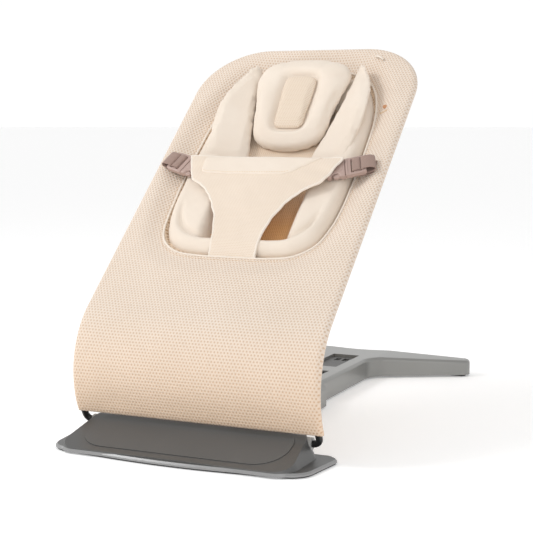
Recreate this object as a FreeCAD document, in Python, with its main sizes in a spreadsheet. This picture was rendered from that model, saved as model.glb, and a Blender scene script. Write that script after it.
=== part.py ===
import FreeCAD
import Part
import math
import os
import Sketcher
from types import SimpleNamespace

# Baby bouncer seat, millimetres. +X is the sitter's left (right seen from the front), +Y points to the
# back, +Z is up. The origin is at the floor, in the middle of the footprint.
# The seat is drawn flat in its own frame (x across, y up along the seat line, z out of the front) and
# each of its pieces is then placed on the leaning seat line.

Vec = FreeCAD.Vector
Rotation = FreeCAD.Rotation
Placement = FreeCAD.Placement
X_AXIS, Y_AXIS, Z_AXIS = Vec(1, 0, 0), Vec(0, 1, 0), Vec(0, 0, 1)

SIZES = {
    # base
    "base_length": 800, "foot_width": 420, "foot_depth": 126, "foot_rim": 7, "sole_height": 2,
    "platform_width": 370, "platform_height": 38, "platform_slope": 17, "inlay_width": 318,
    "inlay_depth": 98, "inlay_corner": 44, "inlay_thickness": 2.4,
    "spine_width": 100, "spine_height": 38, "spine_front_width": 132, "spine_front_height": 41,
    "spine_front_length": 304, "arm_span": 430, "arm_drop": 10, "pad_length": 34, "pad_width": 18,
    "track_width": 54, "track_length": 286, "track_start": 254, "track_wall": 4, "track_floor": 11,
    "recess_width": 50, "recess_length": 118, "recess_depth": 5, "slot_width": 11, "slot_length": 20,
    "screw_head": 4,
    # pivot and frame tubes
    "pivot_setback": 102.5, "pivot_height": 27, "bush_radius": 9, "bush_length": 30,
    "running_gap": 0.05, "tube_radius": 5, "tube_bore": 3.8, "tube_half_span": 188, "hook_radius": 11,
    "knee_radius": 125, "knee_setback": 205, "knee_height": 100, "knee_start": -30, "seat_lean": 41.8,
    "frame_split": 250, "split_gap": 1.5, "hoop_top": 753, "hoop_corner": 102, "spigot_length": 36,
    # cross bar, prop and carriage
    "bar_seat_mark": 250, "bar_setback": 20, "bar_radius": 5, "bar_half_length": 177, "rivet_radius": 2.5,
    "prop_rod_radius": 4, "prop_half_span": 13, "sleeve_radius": 8, "sleeve_length": 62,
    "foot_pin_radius": 4, "carriage_width": 44, "carriage_length": 38, "carriage_height": 20,
    "latch_radius": 3, "latch_setback": 12.5, "latch_height": 23,
    # soft parts
    "cover_half_width": 196, "cover_thickness": 14, "cover_start": 6, "cover_top": 761,
    "cover_corner": 110, "pouch_gap": 0.5, "pouch_wall": 3, "insert_wall": 11, "soft_gap": 0.6,
    "headrest_length": 196, "headrest_width": 156, "headrest_thickness": 16, "headrest_tilt": 10.5,
    "core_length": 116, "core_width": 62, "core_thickness": 7,
    "bib_half_width": 131, "bib_thickness": 5, "bib_height": 19.5,
    # buckles and webbing
    "webbing_width": 28, "webbing_thickness": 1.5, "socket_width": 38, "socket_length": 30,
    "socket_thickness": 9, "plug_length": 31.5, "prong_length": 21, "buckle_height": 14,
    "buckle_mark": 452, "buckle_tilt": 19, "buckle_inner": 107,
}


class Size:
    """A length known both as a number and as a spreadsheet expression."""

    def __init__(self, number, text):
        self.number = float(number)
        self.text = text

    def join(self, sign, other, number):
        text = other.text if isinstance(other, Size) else repr(float(other))
        return Size(number, f"({self.text} {sign} {text})")

    def __add__(self, other):
        return self.join("+", other, self.number + float(other))

    def __sub__(self, other):
        return self.join("-", other, self.number - float(other))

    def __mul__(self, other):
        return self.join("*", other, self.number * float(other))

    def __truediv__(self, other):
        return self.join("/", other, self.number / float(other))

    def __neg__(self):
        return Size(-self.number, f"(-1 * {self.text})")

    def __float__(self):
        return self.number


doc = FreeCAD.newDocument("bouncer_seat")
sheet = doc.addObject("Spreadsheet::Sheet", "Sizes")
for row, (alias, number) in enumerate(SIZES.items(), start=1):
    sheet.set(f"A{row}", alias)
    sheet.set(f"B{row}", str(number))
    sheet.setAlias(f"B{row}", alias)
doc.recompute()
d = SimpleNamespace(**{alias: Size(number, f"Sizes.{alias}") for alias, number in SIZES.items()})

NODES = []

# ---------------------------------------------------------------- places worked out from the sizes

FRONT = -d.base_length / 2                    # front edge of the front foot
PIVOT = Vec(0, float(FRONT + d.pivot_setback), float(d.pivot_height))
KNEE = Vec(0, float(FRONT + d.knee_setback), float(d.knee_height))
LEAN = math.radians(float(d.seat_lean))
ALONG = Vec(0, math.cos(LEAN), math.sin(LEAN))       # up along the straight seat line
OUTWARD = Vec(0, -math.sin(LEAN), math.cos(LEAN))    # out of the seat's front
KNEE_END = math.pi / 2 - LEAN
KNEE_BEGIN = math.radians(float(d.knee_start))
KNEE_LENGTH = float(d.knee_radius) * (KNEE_END - KNEE_BEGIN)


def knee_point(angle, offset=0.0):
    """A point on the bent lower seat line; offset moves it out of the seat's front."""
    reach = float(d.knee_radius) + offset
    return KNEE + Vec(0, -reach * math.cos(angle), reach * math.sin(angle))


SEAT_ORIGIN = knee_point(KNEE_END) - ALONG * KNEE_LENGTH
SEAT_PLACE = Placement(SEAT_ORIGIN, Rotation(X_AXIS, float(d.seat_lean)))


def seat_point(mark, height=0.0, across=0.0):
    """A point at a distance along the straight seat line and a height out of its front."""
    return SEAT_ORIGIN + ALONG * float(mark) + OUTWARD * float(height) + X_AXIS * float(across)


PROP_TOP = seat_point(d.bar_seat_mark, -d.bar_setback)
PROP_FOOT = Vec(0, 2 * PROP_TOP.y - PIVOT.y, PIVOT.z)     # the prop is as long as pivot to prop top


# ---------------------------------------------------------------- small building helpers

def bind(obj, **sizes):
    """Sets properties of an object and ties them to the sheet."""
    for name, size in sizes.items():
        if isinstance(size, Size):
            setattr(obj, name, size.number)
            obj.setExpression(name, size.text)
        else:
            setattr(obj, name, size)
    return obj


def place(obj, x=0, y=0, z=0, rotation=None):
    """Puts an object somewhere; each coordinate may be tied to the sheet."""
    obj.Placement = Placement(Vec(float(x), float(y), float(z)), rotation or Rotation())
    for axis, size in zip("xyz", (x, y, z)):
        if isinstance(size, Size):
            obj.setExpression(f".Placement.Base.{axis}", size.text)
    return obj


def node(obj, label):
    """Names a finished sub-part; its label is its file's name."""
    obj.Label = label
    NODES.append(obj)
    return obj


def box(name, length, width, height, x, y, z):
    """A box from its lowest corner."""
    solid = bind(doc.addObject("Part::Box", name), Length=length, Width=width, Height=height)
    return place(solid, x, y, z)


def cylinder(name, radius, height, x, y, z, axis=Z_AXIS):
    solid = bind(doc.addObject("Part::Cylinder", name), Radius=radius, Height=height)
    return place(solid, x, y, z, Rotation(Z_AXIS, axis))


def cut(name, base, *tools):
    """The base with each tool taken away in turn."""
    for index, tool in enumerate(tools):
        result = doc.addObject("Part::Cut", f"{name}_{index}")
        result.Base, result.Tool = base, tool
        base = result
    doc.recompute()
    return base


def fuse(name, *solids):
    result = doc.addObject("Part::MultiFuse", name)
    result.Shapes = list(solids)
    result.Refine = True
    doc.recompute()
    return result


def eased(name, base, size, chosen, kind="Fillet"):
    """Fillets or chamfers the edges that chosen() picks by their middle point and direction."""
    doc.recompute()
    result = doc.addObject(f"Part::{kind}", name)
    result.Base = base
    edges = []
    for index, edge in enumerate(base.Shape.Edges, start=1):
        first, last = edge.ParameterRange
        middle = edge.valueAt((first + last) / 2)
        if chosen(middle, edge.tangentAt((first + last) / 2)):
            edges.append((index, float(size), float(size)))
    result.Edges = edges
    doc.recompute()
    return result


def feature(name, shape, placement=None):
    """A free shape as an object of the document; the placement comes after the shape."""
    obj = doc.addObject("Part::Feature", name)
    obj.Shape = shape
    if placement:
        obj.Placement = placement
    return obj


def plane(body, role):
    for candidate in body.Origin.OriginFeatures:
        if candidate.Role == role:
            return candidate


def sketch_on(body, name, role="XY_Plane", height=0):
    sketch = body.newObject("Sketcher::SketchObject", name)
    sketch.AttachmentSupport = [(plane(body, role), "")]
    sketch.MapMode = "FlatFace"
    sketch.AttachmentOffset = Placement(Vec(0, 0, float(height)), Rotation())
    if isinstance(height, Size):
        sketch.setExpression(".AttachmentOffset.Base.z", height.text)
    return sketch


def draw_rounded_rectangle(sketch, left, right, low, high, radius):
    """A rounded rectangle whose four sides and corner radius are tied to the sheet."""
    x0, x1, y0, y1, r = (float(v) for v in (left, right, low, high, radius))
    corners = [(x1 - r, y0 + r, -90), (x1 - r, y1 - r, 0), (x0 + r, y1 - r, 90), (x0 + r, y0 + r, 180)]
    sides = [(x0 + r, y0, x1 - r, y0), (x1, y0 + r, x1, y1 - r), (x1 - r, y1, x0 + r, y1),
             (x0, y1 - r, x0, y0 + r)]
    for (xa, ya, xb, yb), (cx, cy, start) in zip(sides, corners):
        sketch.addGeometry(Part.LineSegment(Vec(xa, ya, 0), Vec(xb, yb, 0)))
        arc = Part.ArcOfCircle(Part.Circle(Vec(cx, cy, 0), Z_AXIS, r), math.radians(start),
                               math.radians(start + 90))
        sketch.addGeometry(arc)
    for line in range(0, 8, 2):
        sketch.addConstraint(Sketcher.Constraint("Tangent", line, 2, line + 1, 1))
        sketch.addConstraint(Sketcher.Constraint("Tangent", line + 1, 2, (line + 2) % 8, 1))
        sketch.addConstraint(Sketcher.Constraint("Vertical" if line in (2, 6) else "Horizontal", line))
    for arc in (3, 5, 7):
        sketch.addConstraint(Sketcher.Constraint("Equal", 1, arc))
    for kind, line, size in (("DistanceY", 0, low), ("DistanceX", 2, right), ("DistanceY", 4, high),
                             ("DistanceX", 6, left)):
        tie(sketch, Sketcher.Constraint(kind, -1, 1, line, 1, float(size)), size)
    tie(sketch, Sketcher.Constraint("Radius", 1, r), radius)


def tie(sketch, constraint, size):
    """Adds one dimension to a sketch and ties it to the sheet."""
    index = sketch.addConstraint(constraint)
    if isinstance(size, Size):
        sketch.setExpression(f"Constraints[{index}]", size.text)


def draw_polygon(sketch, points):
    for start, end in zip(points, points[1:] + points[:1]):
        sketch.addGeometry(Part.LineSegment(Vec(*start, 0), Vec(*end, 0)))


def pad(body, sketch, length, name="Pad", both_ways=False):
    result = body.newObject("PartDesign::Pad", name)
    result.Profile = sketch
    bind(result, Length=length, Midplane=both_ways)
    body.Tip = result
    doc.recompute()
    return result


def pocket(body, sketch, length, name, both_ways=False, reverse=False):
    """Cuts a sketch out of a body and proves that material went."""
    before = body.Shape.Volume
    result = body.newObject("PartDesign::Pocket", name)
    result.Profile = sketch
    bind(result, Length=length, Midplane=both_ways, Reversed=reverse)
    body.Tip = result
    doc.recompute()
    if body.Shape.Volume >= before - 1:
        raise RuntimeError(f"{name} cuts nothing")
    return result


def plate(name, left, right, low, high, radius, bottom, thickness):
    """A flat plate with rounded corners, as a body of its own."""
    body = doc.addObject("PartDesign::Body", name)
    sketch = sketch_on(body, f"{name}_outline", height=bottom)
    draw_rounded_rectangle(sketch, left, right, low, high, radius)
    pad(body, sketch, thickness, f"{name}_pad")
    return body


def rounded_wire(left, right, low, high, radius, level):
    """A closed rounded rectangle at one level, for lofts."""
    x0, x1, y0, y1, r = (float(v) for v in (left, right, low, high, radius))
    z = float(level)
    half = r * (1 - math.sqrt(0.5))
    edges = [Part.LineSegment(Vec(x0 + r, y0, z), Vec(x1 - r, y0, z)),
             Part.Arc(Vec(x1 - r, y0, z), Vec(x1 - half, y0 + half, z), Vec(x1, y0 + r, z)),
             Part.LineSegment(Vec(x1, y0 + r, z), Vec(x1, y1 - r, z)),
             Part.Arc(Vec(x1, y1 - r, z), Vec(x1 - half, y1 - half, z), Vec(x1 - r, y1, z)),
             Part.LineSegment(Vec(x1 - r, y1, z), Vec(x0 + r, y1, z)),
             Part.Arc(Vec(x0 + r, y1, z), Vec(x0 + half, y1 - half, z), Vec(x0, y1 - r, z)),
             Part.LineSegment(Vec(x0, y1 - r, z), Vec(x0, y0 + r, z)),
             Part.Arc(Vec(x0, y0 + r, z), Vec(x0 + half, y0 + half, z), Vec(x0 + r, y0, z))]
    return Part.Wire([edge.toShape() for edge in edges])


def rounded_outline(corners):
    """A closed flat outline through corners (x, y, radius), each rounded by a tangent arc."""
    edges = []
    count = len(corners)
    stops = []
    for index, (x, y, radius) in enumerate(corners):
        here = Vec(x, y, 0)
        before = (Vec(*corners[index - 1][:2], 0) - here).normalize()
        after = (Vec(*corners[(index + 1) % count][:2], 0) - here).normalize()
        half = before.getAngle(after) / 2
        trim = radius / math.tan(half)
        middle = here + (before + after).normalize() * (radius / math.sin(half) - radius)
        stops.append((here + before * trim, middle, here + after * trim, radius))
    for index, (start, middle, end, radius) in enumerate(stops):
        if radius:
            edges.append(Part.Arc(start, middle, end))
        edges.append(Part.LineSegment(end, stops[(index + 1) % count][0]))
    return edges


def outline_wire(corners, level=0.0):
    wire = Part.Wire([edge.toShape() for edge in rounded_outline(corners)])
    wire.translate(Vec(0, 0, level))
    return wire


def mirrored(corners):
    """The corners of a right half, from front to back, completed with its left half."""
    left = [(-x, y, radius) for x, y, radius in reversed(corners) if abs(x) > 0.01]
    return corners + left


def prism(points, direction):
    """A flat outline of straight edges, extruded."""
    return Part.Face(Part.makePolygon(points + points[:1])).extrude(direction)


def tube(path, radius, bore=0):
    """A round bar or hollow tube along a wire of tangent runs."""
    start = path.Edges[0]
    origin = start.valueAt(start.FirstParameter)
    direction = start.tangentAt(start.FirstParameter)
    solid = path.makePipeShell([Part.Wire(Part.makeCircle(radius, origin, direction))], True, False)
    if bore:
        inner = path.makePipeShell([Part.Wire(Part.makeCircle(bore, origin, direction))], True, False)
        solid = solid.cut(inner)
    return solid


# ---------------------------------------------------------------- front foot

def foot_outline(inset=0.0):
    """The front foot in plan: bowed front edge, large front corners, small back corners."""
    half = float(d.foot_width) / 2 - inset
    front = float(FRONT) + inset
    back = float(FRONT + d.foot_depth) - inset
    right = [(0, front - 5.25, 900), (half - 12, front + 16, 34), (half + 0.3, back - 13, 12),
             (half - 16, back, 10)]
    return rounded_outline(mirrored(right))


def slope_place(depth):
    """On the platform's sloping top, below its surface by a depth."""
    tilt = Rotation(X_AXIS, float(d.platform_slope))
    start = Vec(0, float(FRONT) + 1, float(d.foot_rim))
    return Placement(start + tilt.multVec(Vec(0, 0, -depth)), tilt)


def make_front_foot():
    rim_body = doc.addObject("PartDesign::Body", "foot_rim_body")
    rim = sketch_on(rim_body, "foot_rim_outline", height=d.sole_height)
    for curve in foot_outline():
        rim.addGeometry(curve)
    pad(rim_body, rim, d.foot_rim - d.sole_height, "foot_rim_pad")
    rim_top_z = float(d.foot_rim)
    rim_eased = eased("foot_rim_eased", rim_body, 2.5, lambda p, t: abs(p.z - rim_top_z) < 0.01, "Chamfer")
    body = doc.addObject("PartDesign::Body", "platform_body")
    half = d.platform_width / 2
    low = sketch_on(body, "platform_low", height=d.sole_height)
    draw_rounded_rectangle(low, -half, half, FRONT + 6, FRONT + d.foot_depth - 3, Size(30, "30"))
    high = sketch_on(body, "platform_high", height=d.platform_height)
    draw_rounded_rectangle(high, 16 - half.number, half.number - 16, FRONT + 10,
                           FRONT + d.foot_depth - 8, Size(26, "26"))
    loft = body.newObject("PartDesign::AdditiveLoft", "platform_loft")
    loft.Profile = low
    loft.Sections = [high]
    body.Tip = loft
    doc.recompute()
    rise = math.tan(math.radians(float(d.platform_slope)))
    front, rim_top = float(FRONT) + 1, float(d.foot_rim)
    above = sketch_on(body, "slope_cut", "YZ_Plane")
    draw_polygon(above, [(front - 9, rim_top - 9 * rise), (front - 9, 80), (front + 140, 80),
                         (front + 140, rim_top + 140 * rise)])
    pocket(body, above, d.foot_width + 20, "slope_pocket", both_ways=True)
    hollow_body = doc.addObject("PartDesign::Body", "foot_hollow_body")
    inside = sketch_on(hollow_body, "foot_hollow", "YZ_Plane")
    draw_polygon(inside, [(front + 29, 1), (front + 29, 9), (front + 100, 30), (front + 114, 30),
                          (front + 114, 1)])
    pad(hollow_body, inside, d.platform_width - 70, "foot_hollow_pad", both_ways=True)
    whole = fuse("foot_whole", rim_eased, body)
    recess = plate("inlay_recess", -d.inlay_width / 2 - 0.2, d.inlay_width / 2 + 0.2, Size(17.8, "17.8"),
                   d.inlay_depth + 18.2, d.inlay_corner + 0.2, Size(0, "0"), d.inlay_thickness + 8)
    recess.Placement = slope_place(float(d.inlay_thickness) - 0.9)
    rebate = plate("plate_rebate", -d.platform_width / 2 + 25, d.platform_width / 2 - 25, FRONT + 22,
                   FRONT + d.foot_depth - 4, Size(8, "8"), Size(0, "0"), d.sole_height + 2)
    bores = []
    for side, start in (("left", -float(d.platform_width) / 2 - 5), ("right", 145)):
        bores.append(cylinder(f"bush_bore_{side}", d.bush_radius, 45, start, PIVOT.y, PIVOT.z, X_AXIS))
    node(cut("foot_shell", whole, hollow_body, recess, rebate, *bores), "front_foot_shell")

    inlay = plate("foot_inlay", -d.inlay_width / 2, d.inlay_width / 2, Size(18, "18"),
                  d.inlay_depth + 18, d.inlay_corner, Size(0, "0"), d.inlay_thickness)
    inlay.Placement = slope_place(float(d.inlay_thickness) - 0.9)
    node(inlay, "front_foot_inlay")

    sole = doc.addObject("PartDesign::Body", "sole_body")
    outline = sketch_on(sole, "sole_outline")
    for curve in foot_outline(inset=1.5):
        outline.addGeometry(curve)
    pad(sole, outline, d.sole_height, "sole_pad")
    hole = sketch_on(sole, "sole_hole", height=d.sole_height)
    draw_rounded_rectangle(hole, -d.platform_width / 2 + 24, d.platform_width / 2 - 24, FRONT + 21,
                           FRONT + d.foot_depth - 3.5, Size(9, "9"))
    pocket(sole, hole, d.sole_height, "sole_pocket")
    node(sole, "front_foot_sole")

    under = plate("foot_plate", -d.platform_width / 2 + 25.2, d.platform_width / 2 - 25.2, FRONT + 22.2,
                  FRONT + d.foot_depth - 4.2, Size(8, "8"), d.sole_height, Size(1.8, "1.8"))
    node(under, "front_foot_underplate")


def make_bushes():
    for side, start in (("left", -176), ("right", 146)):
        outer = cylinder(f"bush_outer_{side}", d.bush_radius - 0.1, d.bush_length, start, PIVOT.y,
                         PIVOT.z, X_AXIS)
        bore = cylinder(f"bush_hole_{side}", d.tube_radius + d.running_gap, d.bush_length + 2,
                        start - 1, PIVOT.y, PIVOT.z, X_AXIS)
        node(cut(f"bush_{side}", outer, bore), f"pivot_bush_{side}")


# ---------------------------------------------------------------- spine and rear foot

def along_y(direction):
    return abs(direction.y) > 0.999


def track_block(name, start, length, wall=0.0):
    """The room the track needs in the spine, with an extra wall round it."""
    half = d.track_width / 2 + wall + 0.3
    floor = d.track_floor - wall - 0.3
    return box(name, half * 2, length, Size(60, "60"), -half, start, floor)


def make_spine_front():
    width, height, length = d.spine_front_width, d.spine_front_height, d.spine_front_length
    start = FRONT + d.foot_depth + 0.2
    block = box("spine_front_block", width, length, height - d.sole_height, -width / 2, start,
                d.sole_height)
    soft = eased("spine_front_rounded", block, 13, lambda p, t: along_y(t) and p.z > 30)
    hollow = box("spine_front_hollow", width - 12, length - 10, height - 10, -width / 2 + 6, start + 5,
                 Size(5, "5"))
    track_start = FRONT + d.track_start - 0.3
    walls = track_block("spine_front_walls", track_start - 3, d.track_length, 3)
    hollow = cut("spine_front_room", hollow, walls)
    track = track_block("spine_front_track", track_start, d.track_length)
    node(cut("spine_front", soft, hollow, track), "spine_front_shell")


def rear_outline():
    """The narrow spine and the V-shaped rear foot in plan."""
    half = float(d.spine_width) / 2
    start = float(FRONT + d.foot_depth + d.spine_front_length) + 0.4
    reach = float(d.arm_span) / 2
    back = float(d.base_length) / 2
    return mirrored([(half, start, 0), (half, back - 114, 45), (reach - 2, back - 25, 14),
                     (reach - 10, back + 1.3, 11), (0, back - 36, 150)])


def make_rear_base():
    height = float(d.spine_height)
    low = float(d.sole_height) + 1
    solid = Part.Face(outline_wire(rear_outline(), low)).extrude(Vec(0, 0, height - low))
    drop = float(d.arm_drop)
    reach = float(d.arm_span) / 2 + 10
    for side in (-1, 1):
        wedge = [Vec(side * 60, -10, height), Vec(side * reach, -10, height - drop),
                 Vec(side * reach, -10, height + 20), Vec(side * 60, -10, height + 20)]
        solid = solid.cut(prism(wedge, Vec(0, 500, 0)))
    start = float(FRONT + d.foot_depth + d.spine_front_length) + 0.4
    top = [edge for edge in solid.Edges
           if edge.BoundBox.ZMin > height - drop - 2 and not edge.CenterOfMass.y < start + 1
           and not (edge.BoundBox.XLength < 0.01 and abs(abs(edge.CenterOfMass.x) - 60) < 0.1)]
    solid = solid.makeFillet(6, top)
    body = feature("rear_base_solid", solid)
    end_y = float(d.base_length) / 2
    spine = box("rear_hollow", d.spine_width - 8, end_y - 60 - start - 4, d.spine_height - 10,
                -d.spine_width / 2 + 4, start + 4, low + 3)
    track_start = FRONT + d.track_start - 0.3
    recess_low = d.base_length / 2 - 103 - d.recess_length.number
    recess_floor = d.spine_height - d.recess_depth - 3
    walls = track_block("rear_walls", track_start, d.track_length + 3.6, 3)
    cover = box("recess_walls", d.recess_width + 6, d.recess_length + 6, 20, -d.recess_width / 2 - 3,
                recess_low - 3, recess_floor - 3)
    hollows = [cut("rear_room", spine, walls, cover)]
    for side in (-1, 1):
        points = [Vec(side * 46.2, end_y - 92, low + 3), Vec(side * 60, end_y - 88, low + 3),
                  Vec(side * 168, end_y - 36, low + 3), Vec(side * 168, end_y - 14, low + 3),
                  Vec(side * 46.2, end_y - 44, low + 3)]
        hollows.append(feature(f"arm_hollow_{side + 1}", prism(points, Vec(0, 0, 19))))
    track = track_block("rear_track", track_start, d.track_length + 0.6)
    recess = box("rear_recess", d.recess_width, d.recess_length, 20, -d.recess_width / 2, recess_low,
                 recess_floor)
    pads = []
    for side in (-1, 1):
        pads.append(box(f"pad_seat_{side + 1}", d.pad_length + 0.4, d.pad_width + 0.4, 5,
                        side * 186 - float(d.pad_length) / 2 - 0.2, end_y - 29.2, 0))
    node(cut("rear_base", body, *hollows, track, recess, *pads), "rear_base_shell")


def make_rear_details():
    back = d.base_length / 2
    slots = plate("slot_plate_body", -d.recess_width / 2 + 0.3, d.recess_width / 2 - 0.3,
                  back - 102.7 - d.recess_length.number, back - 103.3, Size(2, "2"),
                  d.spine_height - d.recess_depth - 2.9, Size(2.9, "2.9"))
    holes = [box(f"slot_{i}", d.slot_width, d.slot_length, 10, offset, back - 138,
                 d.spine_height - d.recess_depth - 5)
             for i, offset in enumerate((-float(d.slot_width) - 2, 2.0))]
    node(cut("slot_plate_cut", slots, *holes), "slot_plate")
    for side, sign in (("left", -1), ("right", 1)):
        pad_body = plate(f"pad_{side}_body", sign * 186 - float(d.pad_length) / 2,
                         sign * 186 + float(d.pad_length) / 2, back - 29, back - 29 + d.pad_width,
                         Size(6, "6"), Size(0, "0"), Size(4.9, "4.9"))
        node(pad_body, f"rear_pad_{side}")


def make_track():
    """The U-shaped rail under the seat that the prop's carriage runs in, with latch holes."""
    half = d.track_width / 2
    start = FRONT + d.track_start
    top = d.spine_height - 1
    block = box("track_block", d.track_width, d.track_length, top - d.track_floor, -half, start,
                d.track_floor)
    groove = box("track_groove", d.track_width - d.track_wall * 2, d.track_length - 12, 60,
                 -half + d.track_wall, start + 6, d.track_floor + 4)
    holes = []
    for index, fold in enumerate((0, 10, 20, 40)):
        line = latch_line(fold)
        holes.append(cylinder(f"latch_hole_{index}", d.latch_radius + 0.6, d.track_width + 4,
                              -half - 2, line.y, line.z, X_AXIS))
    node(cut("track", block, groove, *holes), "recline_track")


def make_screws():
    """The pan heads of the screws in the underplate's corners, one group of solids."""
    heads = []
    for x in (-152, 152):
        for setback in (30, 114):
            heads.append(Part.makeCylinder(float(d.screw_head), 1.6, Vec(x, float(FRONT) + setback, 0.3)))
    node(feature("screws", Part.makeCompound(heads)), "base_screws")


# ---------------------------------------------------------------- frame

def lower_path(side, beyond=0.0):
    """Centre line of one lower side tube: pivot end, hook, knee arc, straight run to the split or beyond."""
    x = side * float(d.tube_half_span)
    hook = float(d.hook_radius)
    tangent = Vec(0, math.sin(KNEE_BEGIN), math.cos(KNEE_BEGIN))
    foot = knee_point(KNEE_BEGIN) + X_AXIS * x
    corner = Vec(x, PIVOT.y, PIVOT.z)
    rise = (foot - corner).normalize()
    inner = corner - X_AXIS * (side * hook)
    outer = corner + rise * hook
    diagonal = (corner + (inner + outer - corner * 2)
                * (1 - 1 / math.sqrt(2)))
    start = corner - X_AXIS * (side * 36)
    knee_mid = knee_point((KNEE_BEGIN + KNEE_END) / 2) + X_AXIS * x
    knee_top = knee_point(KNEE_END) + X_AXIS * x
    end = seat_point(float(d.frame_split) + beyond, 0, x)
    edges = [Part.LineSegment(start, inner), Part.Arc(inner, diagonal, outer),
             Part.LineSegment(outer, foot), Part.Arc(foot, knee_mid, knee_top),
             Part.LineSegment(knee_top, end)]
    return Part.Wire([edge.toShape() for edge in edges])


def make_lower_tubes():
    for side, sign in (("left", -1), ("right", 1)):
        hole = rivet(sign, 0.02)
        hole.Placement = SEAT_PLACE
        solid = tube(lower_path(sign), float(d.tube_radius), float(d.tube_bore)).cut(hole)
        node(feature(f"tube_{side}", solid), f"frame_tube_{side}")


def hoop_path():
    x = float(d.tube_half_span)
    r = float(d.hoop_corner)
    top = float(d.hoop_top)
    start = float(d.frame_split) + 1.2
    half = r * (1 - math.sqrt(0.5))
    edges = [Part.LineSegment(Vec(-x, start, 0), Vec(-x, top - r, 0)),
             Part.Arc(Vec(-x, top - r, 0), Vec(half - x, top - half, 0), Vec(r - x, top, 0)),
             Part.LineSegment(Vec(r - x, top, 0), Vec(x - r, top, 0)),
             Part.Arc(Vec(x - r, top, 0), Vec(x - half, top - half, 0), Vec(x, top - r, 0)),
             Part.LineSegment(Vec(x, top - r, 0), Vec(x, start, 0))]
    return Part.Wire([edge.toShape() for edge in edges])


def make_hoop():
    solid = tube(hoop_path(), float(d.tube_radius), float(d.tube_bore))
    node(feature("hoop", solid, SEAT_PLACE), "frame_hoop")
    for side, sign in (("left", -1), ("right", 1)):
        x = sign * float(d.tube_half_span)
        start = float(d.frame_split) + 1.2
        thick = Part.makeCylinder(float(d.tube_bore) - 0.02, float(d.spigot_length) - 10,
                                  Vec(x, start + 2, 0), Y_AXIS)
        thin = Part.makeCylinder(float(d.tube_bore) - 1.1, 14, Vec(x, start - 11, 0), Y_AXIS)
        node(feature(f"spigot_{side}", thick.fuse(thin), SEAT_PLACE), f"hoop_spigot_{side}")


def bracket_block(sign, start, length, extra=0.0):
    """The bracket's block inside a side tube, extruded up the seat; extra grows its outline."""
    profile = [(163 - extra, -26 - extra), (178 + extra, -26 - extra), (188 + extra, -12),
               (188 + extra, 1 + extra), (174 - extra, 1 + extra), (163 - extra, -10)]
    return prism([Vec(sign * x, start, z) for x, z in profile], Vec(0, length, 0))


def rivet(sign, extra=0.0):
    """The rivet through the bracket and the inner wall of its side tube; extra makes its hole."""
    start = Vec(sign * (174 - extra), float(d.bar_seat_mark) - 19, -1.6)
    return Part.makeCylinder(float(d.rivet_radius) + extra, 13 + 2 * extra, start, X_AXIS * sign)


def make_cross_bar():
    """The straight bar behind the seat that the prop hangs on, and its brackets on the side tubes."""
    mark, back = float(d.bar_seat_mark), -float(d.bar_setback)
    half = float(d.bar_half_length)
    bar = Part.makeCylinder(float(d.bar_radius), 2 * half, Vec(-half, mark, back), X_AXIS)
    node(feature("bar", bar, SEAT_PLACE), "cross_bar")
    rivets = []
    for side, sign in (("left", -1), ("right", 1)):
        x = sign * float(d.tube_half_span)
        lug = Part.makeBox(15, 20, 15, Vec(min(sign * 163, sign * 178), mark - 12, back - 8))
        block = bracket_block(sign, mark - 28, 26).fuse(lug)
        tube_hole = Part.makeCylinder(float(d.tube_radius) + 0.03, 60, Vec(x, mark - 50, 0), Y_AXIS)
        bar_hole = Part.makeCylinder(float(d.bar_radius) + 0.03, 60, Vec(x - 30, mark, back), X_AXIS)
        rivets.append(rivet(sign))
        bracket = block.cut(tube_hole).cut(bar_hole).cut(rivet(sign, 0.02))
        node(feature(f"bracket_{side}", bracket, SEAT_PLACE), f"bar_bracket_{side}")
    node(feature("rivets", Part.makeCompound(rivets), SEAT_PLACE), "bracket_rivets")


def make_prop():
    """Two rods from a sleeve on the cross bar down to an eye on the foot pin."""
    half = float(d.prop_half_span)
    sleeve_length = float(d.sleeve_length)
    gap = float(d.running_gap)
    parts = [Part.makeCylinder(float(d.sleeve_radius), sleeve_length,
                               PROP_TOP - X_AXIS * (sleeve_length / 2), X_AXIS)]
    down = PROP_FOOT - PROP_TOP
    for sign in (-1, 1):
        x = X_AXIS * (sign * half)
        parts.append(Part.makeCylinder(float(d.prop_rod_radius), down.Length, PROP_TOP + x, down))
        parts.append(Part.makeCylinder(7.5, 7, PROP_FOOT + x - X_AXIS * 3.5, X_AXIS))
    leg = parts[0].multiFuse(parts[1:])
    leg = leg.cut(Part.makeCylinder(float(d.bar_radius) + gap, 100, PROP_TOP - X_AXIS * 50, X_AXIS))
    leg = leg.cut(Part.makeCylinder(float(d.foot_pin_radius) + gap, 60, PROP_FOOT - X_AXIS * 30, X_AXIS))
    node(feature("prop", leg.removeSplitter()), "prop_leg")


# ---------------------------------------------------------------- carriage and release

def latch_line(fold=0):
    """Middle of the latch pins' axis when the seat is folded by an angle in degrees."""
    reach = PROP_TOP - PIVOT
    angle = math.atan2(reach.z, reach.y) - math.radians(fold)
    foot = PIVOT.y + 2 * reach.Length * math.cos(angle)
    return Vec(0, foot + float(d.latch_setback), float(d.latch_height))


def across(radius, width, middle):
    """A cylinder along X about a middle point."""
    return Part.makeCylinder(radius, width, middle - X_AXIS * (width / 2), X_AXIS)


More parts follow.
